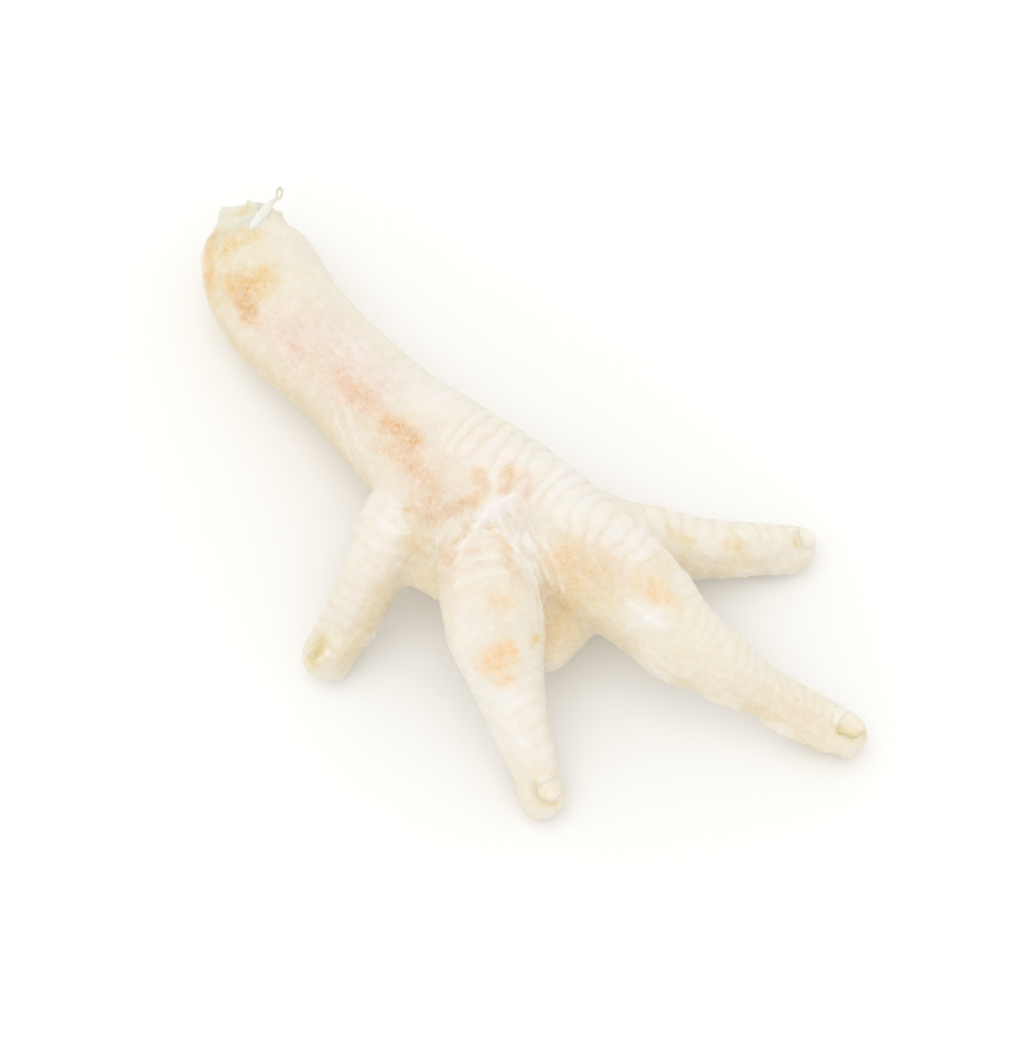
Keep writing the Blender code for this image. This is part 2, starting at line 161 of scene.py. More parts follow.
def curveThrough(stations):
    # Catmull-Rom samples through the stations
    points = np.array(stations, float)
    points = np.vstack([2 * points[0] - points[1], points, 2 * points[-1] - points[-2]])
    rows = []
    for i in range(1, len(points) - 2):
        p0, p1, p2, p3 = points[i - 1:i + 3]
        for t in np.arange(skin["samplesPerSpan"]) / skin["samplesPerSpan"]:
            rows.append(0.5 * (2 * p1 + (p2 - p0) * t + (2 * p0 - 5 * p1 + 4 * p2 - p3) * t ** 2
                               + (3 * p1 - p0 - 3 * p2 + p3) * t ** 3))
    rows.append(points[-2])
    return np.array(rows)


def limbFrames(limb):
    # centre, half sizes, directions and arc length at every sample along a limb
    rows = curveThrough(limb["stations"])
    centre = rows[:, :3]
    along = unit(np.gradient(centre, axis=0))
    run = np.linspace(0, 1, len(rows))[:, None]
    back = np.array(limb["back"][0]) * (1 - run) + np.array(limb["back"][1]) * run
    back = unit(back - along * np.sum(back * along, axis=1, keepdims=True))
    steps = np.linalg.norm(np.diff(centre, axis=0), axis=1)
    return {
        "centre": centre,
        "half": rows[:, 3:],
        "along": along,
        "back": back,
        "side": np.cross(along, back),
        "arc": np.concatenate([[0], np.cumsum(steps)]),
    }


def loftInto(bm, rings):
    rings = [[bm.verts.new(p) for p in ring] for ring in rings]
    sides = len(rings[0])
    for lower, upper in zip(rings, rings[1:]):
        for k in range(sides):
            n = (k + 1) % sides
            bm.faces.new((lower[k], lower[n], upper[n], upper[k]))
    bm.faces.new(rings[0][::-1])
    bm.faces.new(rings[-1])


def limbInto(bm, f):
    half, along = f["half"], f["along"]
    turns = np.arange(skin["ringSides"])[:, None] / skin["ringSides"] * 2 * math.pi
    last = len(half) - 1
    rise = np.arange(1, skin["domeRings"]) / skin["domeRings"] * math.pi / 2
    rows = [(0, -half[0].mean() * skin["rootReach"] * math.sin(a), math.cos(a)) for a in rise[::-1]]
    rows += [(i, 0.0, 1.0) for i in range(last + 1)]
    rows += [(last, half[last].mean() * skin["tipReach"] * math.sin(a), math.cos(a)) for a in rise]
    rings = []
    for i, lift, shrink in rows:
        across = f["side"][i] * half[i, 0] * np.sin(turns)
        up = f["back"][i] * half[i, 1] * np.cos(turns)
        rings.append(f["centre"][i] + along[i] * lift + shrink * (across + up))
    loftInto(bm, rings)


def hullInto(bm, makers):
    corners = bmesh.new()
    for make in makers:
        make(corners)
    hull = bmesh.new()
    for v in corners.verts:
        hull.verts.new(v.co)
    corners.free()
    bmesh.ops.convex_hull(hull, input=hull.verts)
    bmesh.ops.delete(hull, geom=[v for v in hull.verts if not v.link_faces], context="VERTS")
    mesh = bpy.data.meshes.new("hull")
    hull.to_mesh(mesh)
    hull.free()
    bm.from_mesh(mesh)
    bpy.data.meshes.remove(mesh)


def ballInto(bm, at, radius, subdivisions=2):
    bmesh.ops.create_icosphere(bm, subdivisions=subdivisions, radius=radius, matrix=Matrix.Translation(at))


def localAxes(f, sample, raiseBy=0.0):
    # columns: sideways, towards the back, ahead; ahead is tipped towards the back by some degrees
    tip = math.radians(raiseBy)
    ahead = f["along"][sample] * math.cos(tip) + f["back"][sample] * math.sin(tip)
    back = f["back"][sample] * math.cos(tip) - f["along"][sample] * math.sin(tip)
    return np.column_stack([f["side"][sample], back, ahead])


def placed(axes, at):
    matrix = Matrix([list(row) + [0] for row in axes] + [[0, 0, 0, 1]])
    matrix.translation = Vector(at)
    return matrix


def eggInto(bm, axes, at, half, grow=0.0, sides=16, rings=10):
    shape = placed(axes, at) @ Matrix.Diagonal((*[h + grow for h in half], 1))
    bmesh.ops.create_uvsphere(bm, u_segments=sides, v_segments=rings, radius=1, matrix=shape)


def draft(name, bm):
    # a working object in millimetres, from a bmesh
    bmesh.ops.recalc_face_normals(bm, faces=bm.faces)
    mesh = bpy.data.meshes.new(name)
    bm.to_mesh(mesh)
    bm.free()
    thing = bpy.data.objects.new(name, mesh)
    bpy.context.scene.collection.objects.link(thing)
    return thing


def bake(thing):
    # applies every modifier of a working object
    bpy.context.view_layer.update()
    depsgraph = bpy.context.evaluated_depsgraph_get()
    mesh = bpy.data.meshes.new_from_object(thing.evaluated_get(depsgraph), depsgraph=depsgraph)
    thing.modifiers.clear()
    thing.data = mesh
    return thing


def regrow(thing, voxel, passes):
    remesh = thing.modifiers.new("grow", "REMESH")
    remesh.mode = "VOXEL"
    remesh.voxel_size = voxel
    soften = thing.modifiers.new("soften", "SMOOTH")
    soften.factor = 0.5
    soften.iterations = passes
    return bake(thing)


def cutAway(thing, cutters):
    for cutter in cutters:
        cut = thing.modifiers.new(cutter.name, "BOOLEAN")
        cut.operation = "DIFFERENCE"
        cut.solver = "MANIFOLD"
        cut.object = cutter
    bake(thing)


def discard(things):
    for thing in things:
        bpy.data.objects.remove(thing, do_unlink=True)


def vectors(items, key):
    flat = np.empty(len(items) * 3)
    items.foreach_get(key, flat)
    return flat.reshape(-1, 3)


def coordinates(thing):
    return vectors(thing.data.vertices, "co")


def normals(thing):
    return vectors(thing.data.vertex_normals, "vector")


def treeOf(things):
    verts, faces = [], []
    for thing in things:
        start = len(verts)
        verts += [v.co[:] for v in thing.data.vertices]
        faces += [[start + i for i in p.vertices] for p in thing.data.polygons]
    return BVHTree.FromPolygons(verts, faces)


def gapsTo(tree, points):
    return np.array([tree.find_nearest(Vector(p))[3] for p in points])


def finishPiece(thing, name, points, material, nodes, attributes):
    # turns a working object into a piece in metres, dressed and riding on the foot
    thing.name = name
    thing.data.name = name
    thing.data.vertices.foreach_set("co", (points * mm).ravel())
    for key, values in attributes.items():
        layer = thing.data.attributes.new(key, "FLOAT", "POINT")
        layer.data.foreach_set("value", np.asarray(values, np.float32))
    thing.data.materials.clear()
    thing.data.materials.append(material)
    thing.data.shade_smooth()
    thing.data.update()
    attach(thing, "root")
    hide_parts(*nodes)
    print(name, len(thing.data.polygons), "faces")
    return thing


def noiseAt(points, size, octaves=2, seed=0.0):
    # smooth noise of about -1 to 1 whose lumps measure size millimetres
    shift = Vector((seed * 7.1, seed * 3.7, seed * 5.3))
    return np.array([noise.fractal(Vector(p) / size + shift, 1.0, 2.0, octaves) for p in points])


def cellsAt(points, size):
    # 1 in the middle of each round cell, 0 in the furrows between them
    rows = np.empty(len(points))
    for i, p in enumerate(points):
        near, second = noise.voronoi(Vector(p) / size)[0][:2]
        rows[i] = second - near
    return np.clip(rows * 2.2, 0, 1)


# The camera's directions, and the ray through a pixel of the photograph

def cameraAxes():
    turn, rise = math.radians(view["azimuth"]), math.radians(view["elevation"])
    back = np.array([math.sin(turn) * math.cos(rise), -math.cos(turn) * math.cos(rise), math.sin(rise)])
    right = np.array([math.cos(turn), math.sin(turn), 0])
    return right, np.cross(back, right), back


def rayThrough(px, py):
    right, up, back = cameraAxes()
    eye = np.array(view["target"]) + back * view["distance"]
    focal = view["lens"] / view["sensor"] * view["height"]
    return eye, right * (px - view["width"] / 2) - up * (py - view["height"] / 2) - back * focal


def onSkin(tree, px, py):
    # the place on the skin, or next to it, that a pixel shows
    eye, ray = rayThrough(px, py)
    hit = tree.ray_cast(Vector(eye), Vector(ray))[0]
    if hit is None:
        foot = eye + ray * (view["target"][2] - eye[2]) / ray[2]
        hit = tree.find_nearest(Vector(foot))[0]
    return np.array(hit)


def onPhotoPlane(px, py, through):
    # the place seen at a pixel, in the plane across the view through a given place
    eye, ray = rayThrough(px, py)
    back = cameraAxes()[2]
    return eye - ray * ((eye - through) @ back) / (ray @ back)


def distanceToPath(points, path):
    # distance from every point to a chain of points
    if len(path) == 1:
        return np.linalg.norm(points - path[0], axis=1)
    best = np.full(len(points), 1e9)
    for a, b in zip(path, path[1:]):
        step = b - a
        t = np.clip((points - a) @ step / max(step @ step, 1e-9), 0, 1)[:, None]
        best = np.minimum(best, np.linalg.norm(points - a - t * step, axis=1))
    return best


# The skin: limbs grown together, socket and joint cut out, then the relief of scutes, folds and grain.
# Sizes and heights are millimetres.
skin = {
    "samplesPerSpan": 8,
    "ringSides": 20,
    "domeRings": 5,
    "rootReach": 0.15,       # length of the rounded ends, in half widths
    "tipReach": 0.75,
    "limbVoxel": 0.6,        # grid on which the limbs grow together
    "limbSmoothing": 14,
    "voxel": 0.345,          # grid of the finished skin
    "smoothing": 3,
    "endFade": 6.0,
    "blendPower": 8,
    "padProud": 0.55,
    "padLength": 3.2,
    "soleSpread": (1.6, 2.6),
    "lumpSize": 6.5,         # unevenness of the flesh below the skin
    "lumpProud": 0.28,
    "rippleSize": 2.3,       # low swellings of the loose skin
    "rippleProud": 0.08,
    "wrinkleProud": 0.09,    # wrinkles round the limbs
    "streakProud": 0.10,     # and along them
    "grainSize": 1.15,       # small round scales of the sides
    "grainProud": 0.08,
    "soleGrainSize": 1.5,
    "soleGrainProud": 0.15,
    "velvetSize": 0.8,
    "velvetProud": 0.07,
    "furrowDepth": 0.32,     # relief at which a ridge is whitest, with painted highlight, and a furrow warmest, with painted shade
    "plateContrast": 0.75,   # how much whiter the plates of a row are drawn than the gaps between them, partly painted highlight and shade
    "oliveReach": (0.1, 0.5),        # from where to where the olive painted shade round a socket fades out
    "gristleReach": (0.2, 2.4),      # and away from the bared joint
    "cutFade": (0.05, 0.4),          # from where to where the relief sets in, away from a socket
    "unseenStain": 0.55,     # how strong the stains are on the sides that the photograph doesn't show
    "waver": 0.55,           # how ragged the stains are
}
frames = {name: limbFrames(limb) for name, limb in limbs.items()}


def limbPlaces(f, points):
    # arc length, angle from the back and relative distance from the limb's centre line
    nearest = np.empty(len(points), int)
    for start in range(0, len(points), 20000):
        part = points[start:start + 20000]
        gaps = ((part[:, None, :] - f["centre"][None]) ** 2).sum(axis=2)
        nearest[start:start + 20000] = gaps.argmin(axis=1)
    offset = points - f["centre"][nearest]
    ahead = np.sum(offset * f["along"][nearest], axis=1)
    across = np.sum(offset * f["side"][nearest], axis=1)
    up = np.sum(offset * f["back"][nearest], axis=1)
    width, depth = f["half"][nearest].T
    ratio = np.sqrt((across / width) ** 2 + (up / depth) ** 2 + (ahead / skin["endFade"]) ** 2)
    return f["arc"][nearest] + ahead, np.arctan2(across, up), ratio


def limbRelief(limb, arc, angle, wander):
    # height, share of scutes, share of sole, and height of the scutes alone
    scaled = np.zeros(len(arc))
    plates = np.zeros(len(arc))
    for middle, spread, start, end, pitch, proud in limb["rows"]:
        turn = np.abs(angle - math.radians(middle)) / math.radians(spread)
        # each scute bows back at its sides, rises steeply and falls off gently
        place = (arc - start) / pitch + 0.55 * wander - 0.35 * np.minimum(turn, 1.2) ** 2
        plate = 1 - np.abs(2 * (place - np.floor(place)) ** 0.85 - 1) ** 3
        window = 1 - smoothStep(0.75, 1.15, turn + 0.12 * wander)
        window = window * smoothStep(start - 1, start + 3, arc) * (1 - smoothStep(end - 3, end + 1, arc))
        plates += proud * window * (plate - 0.45)
        scaled = np.maximum(scaled, window)
    relief = plates.copy()
    start, end, pitch, proud = limb["folds"]
    window = smoothStep(start, start + 3, arc) * (1 - smoothStep(end - 3, end, arc))
    relief += proud * window * np.sin(2 * math.pi * arc / pitch + 0.8 * np.sin(3 * angle) + 2 * wander)
    under = smoothStep(*skin["soleSpread"], np.abs(angle))
    for pad in limb["pads"]:
        relief += skin["padProud"] * under * np.exp(-((arc - pad) / skin["padLength"]) ** 2)
    return np.array([relief, scaled, under, plates])


# Creases and ridges of loose skin, drawn on the photograph: height and half width in millimetres, then the
# pixels that they run through
creases = {
    "joint end": [
        (0.45, 0.35, [(281, 212), (283, 214)]),
        (0.4, 0.35, [(288, 218), (290, 221)]),
    ],
    "hock": [
        (0.5, 1.6, [(203, 258), (203, 268)]),
        (-0.4, 1.5, [(213, 312), (216, 326)]),
    ],
    "shank": [
        (0.15, 0.6, [(342, 400), (352, 424), (360, 450)]),
        (0.15, 0.6, [(334, 416), (345, 438), (351, 458)]),
    ],
    "palm": [
        (0.36, 0.6, [(478, 524), (487, 511), (499, 503), (510, 496)]),
        (0.26, 0.6, [(486, 514), (477, 526), (467, 541), (460, 556)]),
        (0.2, 0.5, [(460, 549), (474, 534), (492, 529), (510, 538), (519, 552)]),
        (0.18, 0.5, [(456, 562), (472, 547), (494, 541), (512, 552), (520, 566)]),
        (0.16, 0.5, [(454, 574), (474, 561), (498, 557), (516, 569)]),
        (0.14, 0.6, [(455, 586), (478, 575), (504, 573), (524, 585)]),
        (0.24, 0.42, [(514, 546), (527, 561), (537, 582), (541, 604), (541, 622)]),
        (0.22, 0.42, [(525, 541), (540, 556), (549, 580), (552, 604), (549, 622)]),
        (0.18, 0.42, [(536, 536), (551, 553), (560, 578), (563, 596)]),
        (-0.3, 0.6, [(480, 474), (486, 487), (478, 500), (460, 508), (445, 513)]),
        (-0.28, 0.55, [(508, 466), (512, 478), (507, 492)]),
        (-0.2, 0.55, [(528, 474), (531, 484), (526, 494)]),
        (0.22, 0.6, [(494, 478), (497, 490), (490, 502)]),
        (-0.3, 1.2, [(513, 515), (524, 527)]),
    ],
    "hind toe": [
        (-0.85, 1.7, [(317, 644), (313, 656)]),
        (0.62, 0.55, [(327, 654), (318, 660), (308, 665)]),
        (0.25, 0.4, [(305, 642), (304, 656)]),
    ],
    "inner toe": [
        (-0.35, 1.4, [(545, 590), (555, 612), (552, 636)]),
        (-0.4, 0.65, [(534, 784), (536, 796), (544, 804), (556, 803)]),
        (0.35, 1.9, [(547, 785)]),
    ],
    "middle toe": [
        (0.22, 0.7, [(632, 606), (646, 617), (663, 627)]),
        (0.2, 0.6, [(629, 628), (644, 622), (660, 611)]),
        (-0.5, 0.8, [(841, 732), (850, 734), (866, 735)]),
        (0.46, 1.7, [(842, 716), (857, 722)]),
    ],
    "outer toe": [
        (-0.35, 0.45, [(795, 533), (796, 545), (802, 552)]),
    ],
}

# A dent at the outline below the middle toe: height, half width and place (x, y, z)
toeDent = (-1.0, 2.4, (68.3, 9.2, 2.2))

# Stains of the raw skin, drawn the same way: tint, strength, half width and pixels. Tan and most grey marks
# are painted shade on shaded sides and in hollows, olive in the grooves round the cores is painted shade, and
# some milk marks are painted highlights on ridges
stains = {
    "joint end": [
        # a painted shadow spot where the torn bits meet the joint's end
        ("grey_and_shade", 0.9, 0.45, [(276, 209)]),
        ("olive_and_shade", 0.7, 1.1, [(238, 214), (247, 209)]),
        ("gristle", 0.95, 2.2, [(226, 214), (244, 212), (258, 212)]),
        ("gristle", 0.5, 1.4, [(222, 228), (236, 224)]),
    ],
    "hock": [
        ("orange", 1.0, 2.0, [(243, 300), (249, 314)]),
        ("orange", 0.4, 2.4, [(236, 286), (248, 292)]),
        ("orange", 0.42, 1.5, [(206, 252), (205, 262), (209, 280)]),
        ("apricot", 0.48, 1.7, [(205, 254), (204, 266), (208, 278)]),
        ("yellow", 1.0, 2.9, [(232, 287), (248, 287), (262, 279)]),
        ("yellow", 0.85, 2.1, [(225, 250), (238, 238), (250, 235)]),
        ("yellow", 1.0, 2.9, [(209, 248), (206, 268), (209, 282)]),
        ("yellow", 0.4, 2.6, [(212, 290), (218, 315)]),
        ("grey_and_shade", 0.35, 1.8, [(225, 297), (221, 326)]),
    ],
    "shank": [
        ("orange", 0.45, 1.9, [(354, 391), (370, 404)]),
        ("orange", 0.95, 1.6, [(386, 422), (396, 426)]),
        ("orange", 0.9, 1.9, [(402, 434), (414, 443)]),
        ("orange", 0.7, 1.5, [(402, 456), (410, 468)]),
        ("orange", 0.45, 1.6, [(376, 446), (388, 450)]),
        ("orange", 0.35, 1.2, [(337, 372), (342, 388), (352, 393)]),
        ("pink", 0.5, 2.6, [(262, 318), (276, 334)]),
        ("pink", 0.75, 2.4, [(284, 334), (300, 345)]),
        ("pink", 0.45, 2.6, [(300, 345), (316, 360), (334, 372)]),
        ("pink", 0.7, 2.4, [(338, 374), (352, 388)]),
        ("pink", 0.55, 2.8, [(356, 392), (372, 406)]),
        ("pink", 0.38, 4.0, [(312, 312), (352, 352), (380, 384)]),
        ("pink", 0.2, 5.0, [(280, 320), (330, 370), (420, 445)]),
        ("pink", 0.35, 4.0, [(300, 360), (330, 392), (360, 420)]),
        ("yellow", 0.35, 1.8, [(384, 422), (398, 430)]),
        # tan: painted shade along the shank's shaded lower edge and beside a crease
        ("tan_and_shade", 0.75, 3.0, [(235, 345), (262, 368), (298, 400), (326, 432), (345, 462)]),
        ("tan_and_shade", 0.4, 0.8, [(338, 404), (347, 428)]),
        ("milk_and_highlight", 0.25, 4.0, [(400, 380), (436, 402)]),
        ("milk_and_highlight", 0.35, 1.8, [(360, 345), (356, 358)]),
        ("milk_and_highlight", 0.45, 1.0, [(343, 379)]),
        ("grey_and_shade", 0.42, 4.0, [(330, 322), (356, 348), (392, 384)]),
    ],
    "palm": [
        ("orange", 0.55, 2.6, [(424, 478), (434, 492)]),
        ("orange", 0.45, 1.1, [(478, 476), (483, 488), (474, 501), (456, 509), (442, 514)]),
        ("orange", 0.5, 1.1, [(511, 468), (507, 480), (505, 491)]),
        ("orange", 0.45, 2.4, [(418, 510), (434, 518)]),
        ("orange", 0.45, 1.0, [(469, 523), (461, 534), (453, 543)]),
        ("orange", 0.5, 1.7, [(441, 550), (450, 560)]),
        ("orange", 0.75, 0.7, [(490, 528)]),
        ("orange", 0.3, 1.6, [(507, 553), (512, 566), (519, 580)]),
        ("orange", 0.5, 0.8, [(405, 509)]),
        ("orange", 0.4, 1.0, [(466, 502), (450, 508)]),
        ("apricot", 0.3, 1.5, [(478, 476), (483, 488), (474, 501)]),
        ("apricot", 0.4, 1.4, [(511, 468), (507, 480)]),
        ("apricot", 0.55, 1.5, [(552, 560), (564, 552)]),
        ("apricot", 0.4, 1.0, [(500, 536), (507, 552)]),
        ("pink", 0.35, 5.5, [(410, 470), (440, 480)]),
        ("pink", 0.7, 1.5, [(531, 477), (525, 489)]),
        ("pink", 0.5, 1.8, [(461, 560), (474, 556)]),
        ("pink", 0.25, 3.5, [(470, 430), (500, 465), (530, 500)]),
        ("pink", 0.3, 3.0, [(455, 600), (450, 560), (480, 540)]),
        ("yellow", 0.3, 1.8, [(507, 553), (512, 566)]),
        ("milk_and_highlight", 0.52, 3.2, [(560, 470), (565, 500), (600, 520), (640, 550)]),
        ("milk_and_highlight", 0.4, 3.0, [(470, 456), (490, 478)]),
        # milk here: painted highlight on the white ridge of the palm
        ("milk_and_highlight", 0.9, 1.5, [(480, 518), (494, 508), (508, 498)]),
        ("milk_and_highlight", 0.6, 1.0, [(514, 546), (527, 561), (537, 582), (541, 604)]),
        ("milk_and_highlight", 0.5, 2.5, [(500, 450), (520, 462), (540, 478)]),
        ("milk_and_highlight", 0.35, 3.0, [(440, 400), (470, 420)]),
        # grey here: painted shade in the hollow of the palm
        ("grey_and_shade", 0.6, 2.6, [(514, 510), (524, 524)]),
    ],
    "hind toe": [
        ("orange", 0.35, 0.9, [(322, 642), (324, 653)]),
        ("yellow", 0.6, 1.6, [(412, 541), (420, 545)]),
        # tan, grey and olive on the hind toe: painted shade on its shaded side, in the web beside it and in
        # its recess
        ("tan_and_shade", 0.3, 2.0, [(325, 655)]),
        ("tan_and_shade", 0.32, 3.5, [(352, 585), (338, 618)]),
        ("tan_and_shade", 0.8, 3.6, [(398, 566), (420, 574), (440, 580)]),
        ("tan_and_shade", 0.9, 3.2, [(392, 575), (382, 600), (368, 628), (350, 655)]),
        ("milk_and_highlight", 0.5, 5.0, [(380, 512), (384, 552)]),
        ("milk_and_highlight", 0.15, 3.0, [(356, 560), (344, 600)]),
        # milk here: painted highlight on the hind toe's ridge
        ("milk_and_highlight", 0.8, 0.6, [(328, 652), (318, 660), (305, 667)]),
        ("grey_and_shade", 0.3, 3.2, [(352, 585), (338, 618)]),
        ("grey_and_shade", 0.35, 3.0, [(322, 668), (334, 672)]),
        ("olive_and_shade", 0.92, 1.5, [(318, 642), (316, 652), (312, 660)]),
        ("olive_and_shade", 0.45, 0.7, [(323, 646), (323, 655)]),
    ],
    "inner toe": [
        ("apricot", 0.45, 1.8, [(490, 600), (505, 603)]),
        ("apricot", 1.0, 1.6, [(487, 663), (494, 655), (509, 652)]),
        ("apricot", 0.45, 3.0, [(500, 664)]),
        ("apricot", 0.55, 1.7, [(500, 668), (505, 680)]),
        # yellow here and the spot below: painted shade in the hollow beside the inner toe
        ("yellow", 0.6, 3.2, [(562, 600), (556, 622), (545, 640)]),
        ("yellow", 1.0, 1.2, [(536, 641)]),
        ("yellow", 0.25, 1.2, [(518, 712), (531, 733)]),
        ("yellow", 0.25, 1.2, [(536, 748), (531, 765)]),
        ("yellow", 0.5, 0.9, [(537, 777), (544, 772), (554, 773)]),
        ("yellow", 0.3, 1.6, [(545, 798)]),
        # tan here and the grey below: painted shade in the hollow and crease beside the inner toe
        ("tan_and_shade", 0.35, 3.0, [(545, 620), (570, 640), (560, 655)]),
        ("milk_and_highlight", 0.85, 3.0, [(510, 700), (530, 740), (539, 756)]),
        ("milk_and_highlight", 0.35, 3.0, [(462, 600), (464, 640), (476, 680)]),
        ("milk_and_highlight", 0.55, 4.0, [(440, 640), (452, 690), (480, 740)]),
        ("grey_and_shade", 0.4, 1.6, [(534, 560), (545, 590), (546, 612)]),
        # olive here: painted shade in the U-shaped groove round the inner toe's core
        ("olive_and_shade", 0.36, 0.7, [(534, 782), (536, 796), (544, 804), (556, 803)]),
    ],
    "middle toe": [
        ("orange", 0.35, 4.5, [(575, 560), (600, 566)]),
        ("apricot", 0.45, 2.2, [(642, 582), (656, 590)]),
        ("apricot", 0.55, 1.8, [(660, 594), (672, 602)]),
        # yellow here: painted shade in the web between the inner and middle toes
        ("yellow", 0.45, 5.0, [(566, 584), (590, 590)]),
        ("yellow", 0.3, 0.9, [(841, 732), (850, 734), (864, 735)]),
        ("yellow", 0.25, 0.6, [(831, 716), (834, 728)]),
        ("yellow", 0.3, 4.5, [(800, 720), (770, 705)]),
        # tan: painted shade along the middle toe's shaded lower edge and in the web
        ("tan_and_shade", 0.55, 3.2, [(625, 650), (660, 672), (700, 690), (740, 706)]),
        ("tan_and_shade", 0.55, 2.6, [(596, 622), (612, 632)]),
        # milk here: painted highlight on the middle toe's ridge
        ("milk_and_highlight", 0.6, 1.6, [(632, 606), (650, 616), (664, 622)]),
        # olive here: painted shade in the middle toe's slit
        ("olive_and_shade", 0.6, 0.9, [(841, 732), (850, 734), (864, 735)]),
    ],
    "outer toe": [
        ("orange", 0.3, 0.8, [(780, 569), (788, 568)]),
        ("yellow", 0.28, 2.4, [(655, 562), (690, 572), (745, 570)]),
        ("yellow", 0.55, 1.2, [(674, 532), (688, 540)]),
        ("yellow", 0.55, 1.2, [(728, 543), (742, 546)]),
        ("yellow", 0.5, 0.9, [(796, 543)]),
        ("milk_and_highlight", 0.45, 2.0, [(698, 538), (716, 541)]),
        ("milk_and_highlight", 0.6, 1.5, [(808, 540)]),
        # olive here: painted shade in the outer toe's groove
        ("olive_and_shade", 0.35, 0.5, [(795, 538), (797, 547)]),
    ],
}
tints = ("orange", "apricot", "pink", "yellow", "tan_and_shade", "milk_and_highlight", "grey_and_shade", "olive_and_shade", "gristle")


# Torn wisps of white membrane: half width and height in millimetres, how white they are, the way the fibres
# run in the photograph, and pixels
wisps = [
    (3.4, 0.22, 0.75, (0.35, 1.0), [(470, 522), (500, 514), (530, 548), (546, 606)]),
    (3.0, 0.12, 0.5, (0.8, 0.6), [(395, 500), (440, 560)]),
    (4.0, 0.09, 0.2, (0.75, 0.7), [(340, 340), (400, 392)]),
]


def wispRelief(points, smooth):
    # stretched noise along the fibres: its height, and how much of it there is
    right, up, back = cameraAxes()
    height = np.zeros(len(points))
    share = np.zeros(len(points))
    for k, (width, proud, white, (ahead, rise), pixels) in enumerate(wisps):
        path = np.array([onSkin(smooth, *p) for p in pixels])
        near = np.exp(-(distanceToPath(points, path) / width) ** 2)
        run = unit(right * ahead - up * rise)
        across = np.cross(back, run)
        bend = 0.5 * noiseAt(points, 3.0, 2, 60 + k)
        places = [points @ across / 0.62 + bend, points @ run / 3.2 + bend, np.full(len(points), k)]
        fibres = noiseAt(np.column_stack(places), 1.0, 3, 55)
        height += proud * near * fibres
        share = np.maximum(share, white * near * np.clip(0.25 + 1.6 * fibres, 0, 1))
    return height, share


def wavered(points):
    # points shifted about, so that a stain drawn over them has ragged edges
    return points + skin["waver"] * np.column_stack([noiseAt(points, 2.2, 3, s) for s in (5, 6, 7)])


def over(below, above):
    # one share of colour laid over another
    return 1 - (1 - below) * (1 - above)


def stainMarks(ragged, smooth, wanted):
    # how strongly every point carries each tint
    marks = {tint: np.zeros(len(ragged)) for tint in wanted}
    for tint, strength, width, pixels in [stain for part in stains.values() for stain in part]:
        if tint in marks:
            path = np.array([onSkin(smooth, *p) for p in pixels])
            mark = strength * np.exp(-(distanceToPath(ragged, path) / width) ** 2)
            marks[tint] = over(marks[tint], mark)
    return marks


def skinRelief(points, smooth):
    # height of every point's relief, how far it is ridge or furrow, and its shares of sole and of white wisps
    wander = noiseAt(points, 7.0, 2, 1)
    totals = np.zeros((4, len(points)))
    weights = np.zeros(len(points))
    for name, limb in limbs.items():
        arc, angle, ratio = limbPlaces(frames[name], points)
        weight = np.maximum(ratio, 0.2) ** -float(skin["blendPower"])
        parts = limbRelief(limb, arc, angle, wander)
        wrinkles = noiseAt(np.column_stack([arc * 0.9, angle * 1.2, wander]), 1.6, 2, 2)
        streaks = noiseAt(np.column_stack([arc * 0.22, angle * 5.0, wander]), 1.4, 3, 8)
        loose = skin["wrinkleProud"] * wrinkles + skin["streakProud"] * streaks
        parts[0] += loose * (1 - 0.8 * parts[1])
        totals += weight * parts
        weights += weight
    relief, scaled, under, plates = totals / weights
    for height, width, pixels in [crease for part in creases.values() for crease in part]:
        path = np.array([onSkin(smooth, *p) for p in pixels])
        relief += height * np.exp(-(distanceToPath(points, path) / width) ** 2)
    height, width, place = toeDent
    relief += height * np.exp(-(np.linalg.norm(points - place, axis=1) / width) ** 2)
    relief += skin["rippleProud"] * noiseAt(points, skin["rippleSize"], 3, 9) * (1 - 0.6 * scaled)
    wispHeight, wispShare = wispRelief(points, smooth)
    relief += wispHeight
    # ridge and furrow: raised relief is drawn whiter, partly as painted highlight, and sunk relief warmer,
    # partly as painted shade
    ridge = np.clip((relief + skin["plateContrast"] * plates) / skin["furrowDepth"], -1, 1)
    relief += skin["lumpProud"] * noiseAt(points, skin["lumpSize"], 2, 3)
    grain = cellsAt(points, skin["grainSize"])
    soleGrain = cellsAt(points, skin["soleGrainSize"])
    relief += skin["grainProud"] * (grain - 0.5) * (1 - under) * (1 - 0.9 * scaled)
    relief += skin["soleGrainProud"] * (soleGrain - 0.5) * under
    relief += skin["velvetProud"] * noiseAt(points, skin["velvetSize"], 2, 4)
    return relief, ridge, under, wispShare


